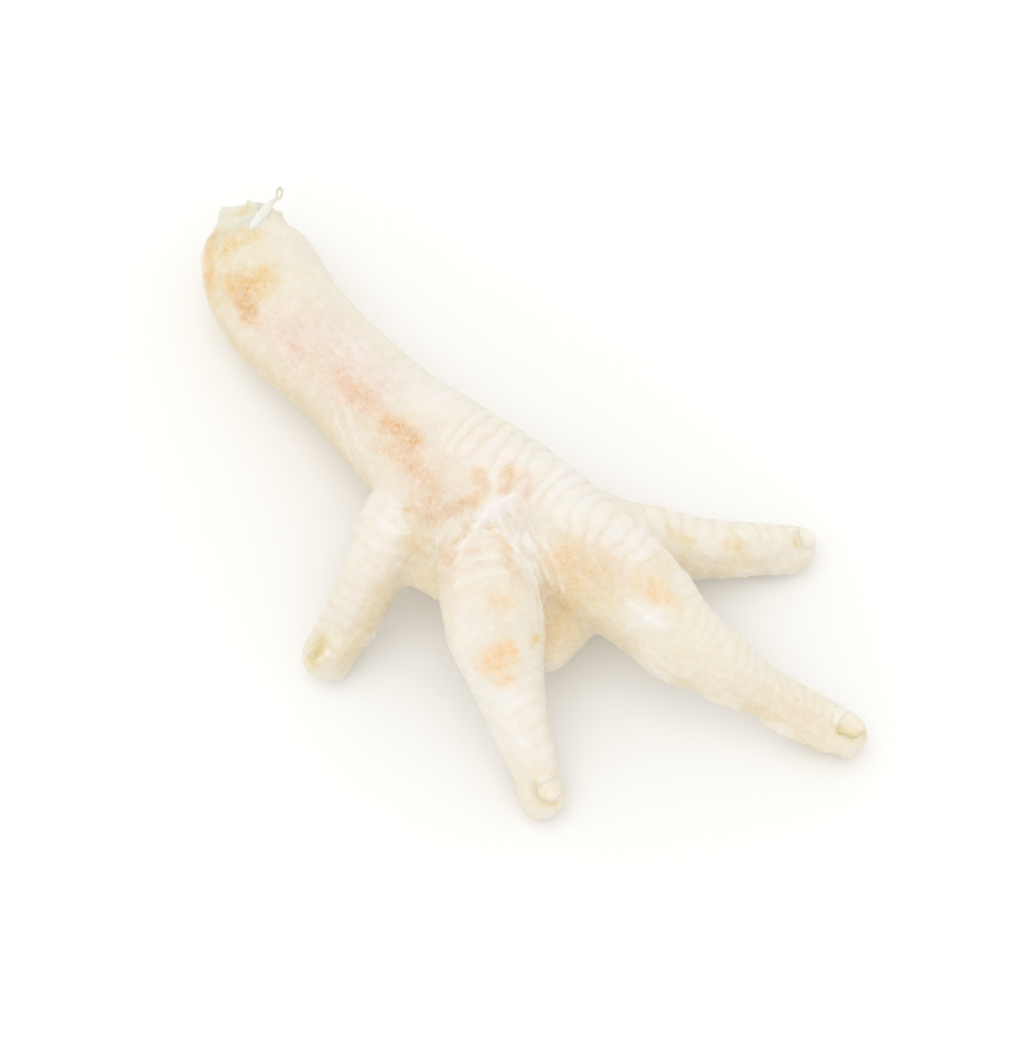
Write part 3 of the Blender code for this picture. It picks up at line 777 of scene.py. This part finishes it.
def skinStains(points, facing, smooth, toSocket, toSeat, white):
    # the drawn stains with their painted shade and highlights, clouds of the same tints on the unseen sides,
    # and the tints next to what is bare: painted olive shade round a socket, and gristle by the bared joint
    ragged = wavered(points)
    marks = stainMarks(ragged, smooth, tints)
    unseen = skin["unseenStain"] * (1 - smoothStep(-0.25, 0.25, facing @ cameraAxes()[2]))
    for seed, tint in enumerate(("orange", "pink", "yellow", "tan_and_shade")):
        marks[tint] = over(marks[tint], unseen * smoothStep(0.1, 0.75, noiseAt(ragged, 7.0, 2, 40 + seed)))
    # a faint ring of painted olive shade round each socket
    marks["olive_and_shade"] = np.maximum(marks["olive_and_shade"], 0.12 * (1 - smoothStep(*skin["oliveReach"], toSocket)))
    marks["gristle"] = np.maximum(marks["gristle"], 1 - smoothStep(*skin["gristleReach"], toSeat))
    dapple = np.clip(0.95 + 0.32 * noiseAt(points, 1.2, 3, 10), 0.4, 1.25)
    for tint in marks:
        marks[tint] = np.clip(marks[tint] * dapple, 0, 1)
    marks["milk_and_highlight"] = over(marks["milk_and_highlight"], white)
    return marks


def skinCutters():
    cutters = []
    for name, claw in claws.items():
        if "socket" in claw:
            axes, at = clawPlace(claw)
            mouth = at + axes @ np.array(claw["mouth"])
            around, ahead = claw["socket"]
            bm = bmesh.new()
            hullInto(bm, [lambda b: eggInto(b, axes, at, claw["half"], around),
                          lambda b: eggInto(b, axes, mouth, claw["half"], ahead)])
            cutters.append(draft("socket " + name, bm))
    bm = bmesh.new()
    shank = frames["shank"]
    loftInto(bm, jointRings(localAxes(shank, 0), shank["centre"][0], 0.0, joint["opening"]))
    cutters.append(draft("seat", bm))
    *at, radius = joint["skinBite"]
    bm = bmesh.new()
    ballInto(bm, at, radius, 4)
    cutters.append(draft("bite", bm))
    return cutters + endBoxes()


def makeSkin(material):
    bm = bmesh.new()
    for f in frames.values():
        limbInto(bm, f)
    for balls in webs.values():
        hullInto(bm, [lambda b, ball=ball: ballInto(b, ball[:3], ball[3]) for ball in balls])
    foot = regrow(draft("foot skin", bm), skin["limbVoxel"], skin["limbSmoothing"])
    smooth = treeOf([foot])
    whole = bpy.data.objects.new("whole foot", foot.data.copy())
    bpy.context.scene.collection.objects.link(whole)
    cutters = skinCutters()
    cutAway(foot, cutters)
    socketTree = treeOf([c for c in cutters if c.name.startswith("socket")])
    seatTree = treeOf([c for c in cutters if c.name.startswith(("seat", "bite"))])
    discard(cutters)
    regrow(foot, skin["voxel"], skin["smoothing"])
    points = coordinates(foot)
    facing = normals(foot)
    print("skin grown:", len(points), "points")

    toSocket = gapsTo(socketTree, points)
    relief, ridge, under, white = skinRelief(points, smooth)
    marks = skinStains(points, facing, smooth, toSocket, gapsTo(seatTree, points), white)
    # under tints the sole and paints shade on the undersides; ridge and furrow carry painted highlight and
    # shade
    marks.update(under=under, ridge=np.clip(ridge, 0, 1), furrow=np.clip(-ridge, 0, 1))
    points = points + facing * (relief * smoothStep(*skin["cutFade"], toSocket))[:, None]
    points[:, 2] = np.maximum(points[:, 2], 0)
    finishPiece(foot, "foot_skin", points, material, ["foot"], marks)
    return smooth, whole


# Materials. Colours are sRGB hex values, and sizes are millimetres.

def linear(code):
    values = [int(code[i:i + 2], 16) / 255 for i in (1, 3, 5)]
    return (*[v / 12.92 if v <= 0.04045 else ((v + 0.055) / 1.055) ** 2.4 for v in values], 1.0)


def addNode(tree, kind, inputs=None, **settings):
    # adds a node with its settings; an input takes a value or a link from another node's output
    node = tree.nodes.new(kind)
    for key, value in settings.items():
        setattr(node, key, value)
    for key, value in (inputs or {}).items():
        if isinstance(value, bpy.types.NodeSocket):
            tree.links.new(value, node.inputs[key])
        else:
            node.inputs[key].default_value = value
    return node


def newMaterial(name, roughness, subsurface, scale):
    # moist tissue: light goes in and comes out warmer a little way off; scale is how far it gets
    material = bpy.data.materials.new(name)
    material.use_nodes = True
    tree = material.node_tree
    shader = tree.nodes["Principled BSDF"]
    shader.inputs["Roughness"].default_value = roughness
    shader.inputs["IOR"].default_value = 1.4
    shader.inputs["Specular IOR Level"].default_value = 0.4
    shader.inputs["Subsurface Weight"].default_value = subsurface
    shader.inputs["Subsurface Radius"].default_value = (0.8, 0.6, 0.42)
    shader.inputs["Subsurface Scale"].default_value = scale * mm
    place = addNode(tree, "ShaderNodeTexCoord").outputs["Object"]
    return material, tree, shader, place


def spots(tree, place, size, detail, low, high, least=0.0, most=1.0):
    # noise with lumps of a size in millimetres, spread from least to most
    lumps = addNode(tree, "ShaderNodeTexNoise",
                    {"Vector": place, "Scale": 1 / (size * mm), "Detail": detail, "Roughness": 0.6})
    return addNode(tree, "ShaderNodeMapRange",
                   {"Value": lumps.outputs["Fac"], "From Min": low, "From Max": high,
                    "To Min": least, "To Max": most}).outputs["Result"]


def layered(tree, colour, layers):
    # lays colours over one another. A layer is its colour, then the shares whose product is how much of it
    # shows: numbers, other nodes' outputs, or the names of marks that the points carry
    for code, *shares in layers:
        total = 1.0
        for share in shares:
            if isinstance(share, str):
                share = addNode(tree, "ShaderNodeAttribute", attribute_name=share).outputs["Fac"]
            total = addNode(tree, "ShaderNodeMath", {0: total, 1: share}, operation="MULTIPLY",
                            use_clamp=True).outputs[0]
        mix = addNode(tree, "ShaderNodeMix", {0: total, 6: colour, 7: linear(code)}, data_type="RGBA")
        colour = mix.outputs[2]
    return colour


# the tan, grey, olive and furrow colours also stand for painted shade, milk for painted highlight, and under
# for the sole's yellower skin with painted shade on the undersides
skinColours = {
    "ivory": "#EBE4D4",
    "cream": "#EDE5CC",
    "pile": "#F8F5F0",
    "furrow": "#EDDABA",
    "orange": "#E4A95C",
    "apricot": "#F6C274",
    "pink": "#EACAB4",
    "yellow": "#E8C266",
    "tan_and_shade": "#E3CEA4",
    "milk_and_highlight": "#F5F1F0",
    "grey_and_shade": "#DCD9D2",
    "olive_and_shade": "#E2D39C",
    "gristle": "#E6E1CF",
    "under": "#E9DBBB",
}
# The real nap of the skin is about 0.1 mm, too fine to show, so its specks and its grain are drawn coarser.
skinPattern = {
    "drift": 9.0,        # slow change from ivory to cream
    "tufts": 0.7,        # breaks up the stains
    "pile": 1.3,         # patches of white pile
    "whiteSpeck": 0.36,
    "warmSpeck": 0.30,
    "fineNap": 0.42,     # the nap that catches the light
    "coarseNap": 1.1,
}


def velvet(tree, shader, place, colour):
    # white pile, thickest on the ridges, where its white is partly painted highlight, with a fine warm
    # speckle between its tufts
    size = skinPattern
    patches = spots(tree, place, size["pile"], 6.0, 0.38, 0.66, 0.08, 0.30)
    # the ridge share: whiter pile and painted highlight on the raised relief
    ridge = addNode(tree, "ShaderNodeAttribute", attribute_name="ridge").outputs["Fac"]
    pile = addNode(tree, "ShaderNodeMath", {0: ridge, 1: 0.45, 2: patches}, operation="MULTIPLY_ADD",
                   use_clamp=True)
    colour = layered(tree, colour, [
        (skinColours["pile"], pile.outputs[0]),
        (skinColours["pile"], spots(tree, place, size["whiteSpeck"], 2.0, 0.5, 0.7, 0.0, 0.26)),
        (skinColours["furrow"], spots(tree, place, size["warmSpeck"], 2.0, 0.52, 0.75, 0.0, 0.26)),
    ])
    fine = spots(tree, place, size["fineNap"], 3.0, 0.2, 0.8, 0.0, 0.5)
    coarse = spots(tree, place, size["coarseNap"], 3.0, 0.2, 0.8, 0.0, 0.35)
    nap = addNode(tree, "ShaderNodeMath", {0: fine, 1: coarse}, operation="ADD", use_clamp=True).outputs[0]
    bump = addNode(tree, "ShaderNodeBump", {"Height": nap, "Strength": 0.6, "Distance": 0.3 * mm})
    tree.links.new(bump.outputs["Normal"], shader.inputs["Normal"])
    return colour


def peeledSkin():
    # scalded and peeled chicken skin: matt, faintly translucent, carotene stains under a white velvety pile,
    # with painted shade in its hollows, creases and undersides and painted highlights on its ridges
    material, tree, shader, place = newMaterial("peeled chicken skin", 0.6, 0.45, 1.5)
    tufts = spots(tree, place, skinPattern["tufts"], 4.0, 0.36, 0.62, 0.55, 1.15)
    drift = spots(tree, place, skinPattern["drift"], 3.0, 0.4, 0.65)
    layers = [(skinColours["cream"], drift)]
    # the underside tint is the sole's yellower skin with painted shade, tan and grey carry painted shade,
    # milk painted highlights
    layers += [(skinColours[tint], tint) for tint in ("under", "tan_and_shade", "grey_and_shade", "milk_and_highlight")]
    layers += [(skinColours[tint], tint, tufts) for tint in ("yellow", "pink", "orange", "apricot")]
    # the furrow tint: warmer skin and painted shade in the creases
    layers += [(skinColours["furrow"], "furrow", 0.35)]
    colour = velvet(tree, shader, place, layered(tree, linear(skinColours["ivory"]), layers))
    # the gristle by the bared joint, and olive with its painted shade round the sockets and in the grooves
    layers = [(skinColours[tint], tint) for tint in ("gristle", "olive_and_shade")]
    layers += [(skinColours["yellow"], "yellow", "gristle", 0.7)]
    tree.links.new(layered(tree, colour, layers), shader.inputs["Base Color"])
    return material


# The joint's cartilage, seen where the skin has drawn back: two shallow cups with a ridge between them.
# A section is its place outward from the hock's end, half its width and half its depth. A ball bites the
# skin away, and boxes cut the end off straight: the middle of each, half its width and height, and its lean
# in degrees. They run along "through" and stand along "up".
joint = {
    "sections": [(-4.7, 3.4, 3.2), (-2.3, 5.0, 4.5), (-0.6, 5.1, 4.6), (0.2, 4.6, 4.1)],
    "aside": 1.2,
    "sides": 48,
    "cups": [(3.4, 3.6, 0.2), (3.4, -1.2, 0.2)],      # outward, sideways, towards the back
    "cupRadius": 3.9,
    "voxels": (0.25, 0.2),                            # before and after the cups are cut
    "snug": 0.2,
    "skinBite": (-67.6, 11.6, 15.0, 5.4),             # middle and radius of the ball
    "opening": 3.0,
    "overlap": 0.9,                                   # how far the cartilage runs on below the skin's edge
    "cuts": [((-71.0, 14.8, 10.4), (3.6, 1.5), 0.0), ((-71.0, 10.6, 9.1), (1.35, 2.75), 8.4)],
    "through": (0.262, -0.290, 0.920),
    "up": (-0.616, 0.684, 0.391),
    "cutReach": 15.0,
}


def endBoxes():
    through, up = unit(joint["through"]), unit(joint["up"])
    across = np.cross(up, through)
    boxes = []
    for at, half, lean in joint["cuts"]:
        lean = math.radians(lean)
        axes = np.column_stack([across * math.cos(lean) - up * math.sin(lean),
                                up * math.cos(lean) + across * math.sin(lean), through])
        size = [2 * h for h in (*half, joint["cutReach"])]
        bm = bmesh.new()
        bmesh.ops.create_cube(bm, size=1, matrix=placed(axes, at) @ Matrix.Diagonal((*size, 1)))
        boxes.append(draft("end box", bm))
    return boxes


def jointRings(axes, at, grow, opening):
    side, back, ahead = axes.T
    turns = np.arange(joint["sides"])[:, None] / joint["sides"] * 2 * math.pi
    ends = [-grow] + [0] * (len(joint["sections"]) - 2) + [opening]
    rings = []
    for (out, width, depth), end in zip(joint["sections"], ends):
        centre = at - ahead * (out + end) + side * joint["aside"]
        rings.append(centre + side * (width + grow) * np.sin(turns) + back * (depth + grow) * np.cos(turns))
    return rings


cartilageColours = {
    "milky": "#E7E4D5",
    "cup": "#ECE9DB",
    "stain": "#E5DCB8",
}


def wetCartilage():
    # hyaline cartilage: smooth, wet and milky, it lets light a few millimetres in
    material, tree, shader, place = newMaterial("wet cartilage", 0.42, 0.5, 2.0)
    layers = [(cartilageColours["cup"], "cup")]
    layers += [(cartilageColours["stain"], spots(tree, place, 3.0, 3.0, 0.5, 0.75))]
    # the drawn marks run on over the cartilage, grey with its painted shade
    layers += [(skinColours[tint], tint) for tint in ("yellow", "olive_and_shade", "grey_and_shade")]
    colour = layered(tree, linear(cartilageColours["milky"]), layers)
    tree.links.new(colour, shader.inputs["Base Color"])
    pits = spots(tree, place, 0.5, 2.0, 0.2, 0.8)
    bump = addNode(tree, "ShaderNodeBump", {"Height": pits, "Strength": 0.4, "Distance": 0.12 * mm})
    tree.links.new(bump.outputs["Normal"], shader.inputs["Normal"])
    return material


def makeCartilage(material, whole, smooth):
    f = frames["shank"]
    axes = localAxes(f, 0)
    at = f["centre"][0]
    *bite, radius = joint["skinBite"]
    bm = bmesh.new()
    ballInto(bm, bite, radius + joint["overlap"], 4)
    ball = draft("ball", bm)
    fill = whole.modifiers.new("fill", "BOOLEAN")
    fill.operation = "INTERSECT"
    fill.solver = "MANIFOLD"
    fill.object = ball
    bake(whole)
    bm = bmesh.new()
    bm.from_mesh(whole.data)
    loftInto(bm, jointRings(axes, at, joint["snug"], 0.1))
    discard([whole, ball])
    cap = regrow(draft("cap", bm), joint["voxels"][0], 2)
    cups = []
    for out, side, back in joint["cups"]:
        bm = bmesh.new()
        ballInto(bm, at + axes @ np.array([side, back, -out]), joint["cupRadius"], 4)
        cups.append(draft("cup", bm))
    boxes = endBoxes()
    cutAway(cap, cups + boxes)
    cupTree = treeOf(cups)
    discard(cups + boxes)
    regrow(cap, joint["voxels"][1], 3)
    points = coordinates(cap)
    marks = stainMarks(wavered(points), smooth, ("yellow", "olive_and_shade", "grey_and_shade"))
    marks["cup"] = 1 - smoothStep(0.2, 1.0, gapsTo(cupTree, points))
    relief = 0.05 * noiseAt(points, 0.7, 2, 12) - 0.09
    relief += skin["lumpProud"] * noiseAt(points, skin["lumpSize"], 2, 3) * (1 - 0.7 * marks["cup"])
    points = points + normals(cap) * relief[:, None]
    return finishPiece(cap, "joint_cartilage_end", points, material, ["joint_cartilage"], marks)


# The pulled-out tendon: a flat fibrous ribbon that lies on the joint's end, narrows and ends in a small loop.
# Each row is its place in the photograph, how far it stands off the joint, half its width and its thickness.
tendon = {
    "strand": [
        (250.8, 230.5, -0.26, 0.42, 0.20),
        (253.5, 226.5, -0.12, 0.80, 0.26),
        (258.5, 219.5, 0.00, 0.96, 0.30),
        (263.5, 213.0, 0.12, 0.92, 0.32),
        (268.0, 207.0, 0.35, 0.68, 0.34),
        (272.8, 202.3, 0.80, 0.46, 0.32),
        (276.6, 199.0, 1.05, 0.32, 0.26),
    ],
    "liesUpTo": (266, 209),          # pixel past which it hangs free of the joint
    "loopAt": (279.4, 193.3),
    "loopTop": (280.6, 186.0),
    "loopHalf": (0.42, 1.00),        # across and along
    "loopRadius": 0.24,
    "loopSides": 20,
    "voxel": 0.11,
    "fibreProud": 0.07,
}
tendonColours = {
    "strand": "#ECE8E0",
    "fibre": "#F4F1EC",
    "free": "#DDDACC",
}


def tendonFibre():
    # collagen: white, stringy and slightly silky along its fibres, greyer where it hangs free
    material, tree, shader, place = newMaterial("tendon collagen", 0.42, 0.4, 0.8)
    fibres = spots(tree, place, 0.35, 2.0, 0.3, 0.7)
    layers = [(tendonColours["fibre"], fibres), (tendonColours["free"], "free")]
    colour = layered(tree, linear(tendonColours["strand"]), layers)
    tree.links.new(colour, shader.inputs["Base Color"])
    return material


def tubeInto(bm, path, widths, depths, flatAxis, sides=14, closed=False):
    # oval tube along a path; its flat side faces flatAxis
    path = np.array(path, float)
    along = unit(np.roll(path, -1, 0) - np.roll(path, 1, 0)) if closed else unit(np.gradient(path, axis=0))
    side = unit(np.cross(along, flatAxis))
    face = np.cross(side, along)
    turns = np.arange(sides)[:, None] / sides * 2 * math.pi
    rings = []
    for i, p in enumerate(path):
        rings.append([bm.verts.new(c) for c in p + side[i] * widths[i] * np.cos(turns)
                      + face[i] * depths[i] * np.sin(turns)])
    pairs = list(zip(rings, rings[1:])) + ([(rings[-1], rings[0])] if closed else [])
    for lower, upper in pairs:
        for k in range(sides):
            n = (k + 1) % sides
            bm.faces.new((lower[k], lower[n], upper[n], upper[k]))
    if not closed:
        bm.faces.new(rings[0][::-1])
        bm.faces.new(rings[-1])


def makeTendon(material, smooth):
    back = cameraAxes()[2]
    lastX, lastY = tendon["liesUpTo"]
    rows = []
    for px, py, off, width, thickness in tendon["strand"]:
        below = onSkin(smooth, min(px, lastX), max(py, lastY))
        rows.append((*(onPhotoPlane(px, py, below) + back * off), width, thickness))
    rows = curveThrough(rows)
    end = rows[-1, :3]
    bm = bmesh.new()
    tubeInto(bm, rows[:, :3], rows[:, 3], rows[:, 4], back)
    loop = onPhotoPlane(*tendon["loopAt"], end)
    direction = unit(onPhotoPlane(*tendon["loopTop"], end) - loop)
    across = unit(np.cross(direction, back))
    halfAcross, halfAlong = tendon["loopHalf"]
    turns = np.arange(tendon["loopSides"])[:, None] / tendon["loopSides"] * 2 * math.pi
    ring = loop + across * halfAcross * np.sin(turns) + direction * halfAlong * np.cos(turns)
    thick = np.full(len(ring), tendon["loopRadius"])
    tubeInto(bm, ring, thick, thick, back, closed=True)
    strand = regrow(draft("strand", bm), tendon["voxel"], 3)
    points = coordinates(strand)
    grid = np.column_stack([points @ across * 3.2, points @ direction * 0.5, points @ back * 3.2])
    fibres = noiseAt(grid, 1.0, 2, 21)
    free = smoothStep(-1.5, 1.0, (points - end) @ direction)
    points = points + normals(strand) * (tendon["fibreProud"] * fibres)[:, None]
    return finishPiece(strand, "tendon_strand", points, material, ["tendon"], {"free": free})


# The pale cores left when the claws were pulled. Each is an egg: half its width, height and length. "set" is
# its middle from the toe's last station: sideways, up the back and ahead. "raise" tips it up, in degrees.
# "mouth" is how far its socket opens, the same way round. "lift" raises it up the back, "rear" draws it out
# under the skin, "dish" presses its top in, and "bare" is how far its bare colour shows. "socket" is how
# closely the skin closes round the egg and round the mouth. Where there is none, the skin runs on, and only
# the top of the core comes through it.
claws = {
    "middle": {"toe": "shank", "half": (2.3, 2.0, 2.7), "set": (1.0, 2.8, -0.9), "raise": 4,
               "mouth": (0.6, 1.6, 1.4), "lift": -0.22, "rear": 2.2, "dish": 0.0, "bare": 1.0},
    "inner": {"toe": "inner", "half": (2.3, 1.9, 2.6), "set": (0.2, 2.4, -2.5), "raise": 6,
              "mouth": (0.3, 2.2, 0.9), "lift": 0.38, "rear": 2.0, "dish": 0.0, "bare": 1.0},
    "outer": {"toe": "outer", "half": (1.9, 1.9, 1.7), "set": (1.5, 1.4, 1.4), "raise": 25,
              "mouth": (0.9, 0.6, 1.4), "lift": 0.05, "rear": 1.5, "dish": 0.0, "bare": 1.0,
              "socket": (-0.8, -0.45)},
    "hind": {"toe": "hind", "half": (1.9, 0.9, 2.0), "set": (0.7, 2.2, -1.0), "raise": 10,
             "mouth": (0.3, 2.8, 0.4), "lift": 0.80, "rear": 1.2, "dish": 0.5, "bare": 0.6},
}
core = {
    "sides": 64,
    "rings": 44,
    "rearFrom": 0.6,         # where its rear starts to dip, behind its middle, and how steeply
    "rearSlope": 0.22,
    "fibreProud": 0.06,
    "lumpProud": 0.13,
}
coreColours = {
    "deep": "#E8DAAC",
    "bare": "#F1E8D3",
    "pale": "#F8F4EA",
}


def clawCore():
    # the claw's soft core: pale and velvety like the skin, yellowed where it went into the toe
    material, tree, shader, place = newMaterial("claw core", 0.6, 0.45, 1.2)
    layers = [(coreColours["bare"], "bare"), (coreColours["pale"], spots(tree, place, 2.0, 2.0, 0.5, 0.8))]
    layers += [(skinColours[tint], tint) for tint in ("milk_and_highlight", "yellow")]
    colour = velvet(tree, shader, place, layered(tree, linear(coreColours["deep"]), layers))
    # olive over the core: painted shade in its groove and recess
    colour = layered(tree, colour, [(skinColours["olive_and_shade"], "olive_and_shade")])
    tree.links.new(colour, shader.inputs["Base Color"])
    return material


def clawPlace(claw):
    # directions and middle of a core's egg
    f = frames[claw["toe"]]
    axes = localAxes(f, -1, claw["raise"])
    return axes, f["centre"][-1] + axes @ np.array(claw["set"])


def makeCore(name, material, smooth):
    claw = claws[name]
    half = claw["half"]
    axes, at = clawPlace(claw)
    at = at + axes[:, 1] * claw["lift"]
    bm = bmesh.new()
    eggInto(bm, axes, at, half, 0.0, core["sides"], core["rings"])
    egg = draft("core", bm)
    local = (coordinates(egg) - at) @ axes
    local[:, 2] *= np.where(local[:, 2] < 0, claw["rear"], 1.0)
    local[:, 1] -= core["rearSlope"] * np.maximum(-local[:, 2] - core["rearFrom"], 0)
    fromTop = (local[:, 0] / half[0]) ** 2 + (local[:, 2] / half[2]) ** 2
    local[:, 1] -= claw["dish"] * np.clip(1 - fromTop, 0, 1) * smoothStep(-0.2, 0.2, local[:, 1])
    points = at + local @ axes.T
    turn = np.arctan2(local[:, 0], local[:, 1])
    along = np.column_stack([np.cos(turn) * 2.4, np.sin(turn) * 2.4, local[:, 2] * 0.35])
    fibres = noiseAt(along, 1.0, 2, 31)
    lumps = noiseAt(points, 1.3, 3, 32)
    marks = stainMarks(wavered(points), smooth, ("yellow", "olive_and_shade", "milk_and_highlight"))
    marks["bare"] = claw["bare"] * smoothStep(-0.35, 0.3, local @ unit(claw["mouth"]) / min(half))
    points = points + normals(egg) * (core["fibreProud"] * fibres + core["lumpProud"] * lumps)[:, None]
    nodes = ["claw_stump_" + name]
    return finishPiece(egg, "claw_core_" + name, points, material, nodes, marks)


smoothFoot, wholeFoot = makeSkin(peeledSkin())
makeCartilage(wetCartilage(), wholeFoot, smoothFoot)
makeTendon(tendonFibre(), smoothFoot)
coreMaterial = clawCore()
for name in claws:
    makeCore(name, coreMaterial, smoothFoot)


# Floor, light and camera

studio = {
    "floor": "#FBFBFA",
    "floorSize": 12.0,
    "fill": 0.95,
    "keyPower": 1.1,
    "keySize": 0.8,
    "keyDistance": 0.9,
    "keyFrom": (-0.2, 0.35, 0.9),    # right, up and back as the camera sees it
    "floorDrop": 0.02,               # millimetres
}


def makeStudio():
    bm = bmesh.new()
    bmesh.ops.create_grid(bm, x_segments=1, y_segments=1, size=studio["floorSize"] / 2,
                          matrix=Matrix.Translation((0, 0, -studio["floorDrop"] * mm)))
    mesh = bpy.data.meshes.new("studio floor")
    bm.to_mesh(mesh)
    bm.free()
    floor = bpy.data.objects.new("studio_floor", mesh)
    bpy.context.scene.collection.objects.link(floor)
    material = bpy.data.materials.new("matt white paper")
    material.use_nodes = True
    shader = material.node_tree.nodes["Principled BSDF"]
    shader.inputs["Base Color"].default_value = linear(studio["floor"])
    shader.inputs["Roughness"].default_value = 0.9
    floor.data.materials.append(material)

    world = bpy.data.worlds.new("soft room")
    world.use_nodes = True
    world.node_tree.nodes["Background"].inputs["Color"].default_value = (1, 1, 1, 1)
    world.node_tree.nodes["Background"].inputs["Strength"].default_value = studio["fill"]
    bpy.context.scene.world = world

    towards = unit(np.column_stack(cameraAxes()) @ studio["keyFrom"])
    light = bpy.data.lights.new("softbox", "AREA")
    light.shape = "DISK"
    light.size = studio["keySize"]
    light.energy = studio["keyPower"]
    softbox = bpy.data.objects.new("softbox", light)
    softbox.location = Vector(view["target"]) * mm + Vector(towards) * studio["keyDistance"]
    softbox.rotation_euler = Vector(towards).to_track_quat("Z", "Y").to_euler()
    bpy.context.scene.collection.objects.link(softbox)


def makeCamera():
    right, up, back = cameraAxes()
    lens = bpy.data.cameras.new("camera")
    lens.lens = view["lens"]
    lens.sensor_fit = "VERTICAL"
    lens.sensor_height = view["sensor"]
    lens.clip_start = 0.01
    camera = bpy.data.objects.new("camera", lens)
    matrix = Matrix([list(row) + [0] for row in np.column_stack([right, up, back])] + [[0, 0, 0, 1]])
    matrix.translation = Vector((np.array(view["target"]) + back * view["distance"]) * mm)
    camera.matrix_world = matrix
    bpy.context.scene.collection.objects.link(camera)
    bpy.context.scene.camera = camera
    bpy.context.scene.view_settings.view_transform = "Standard"


makeStudio()
makeCamera()
print("studio ready")
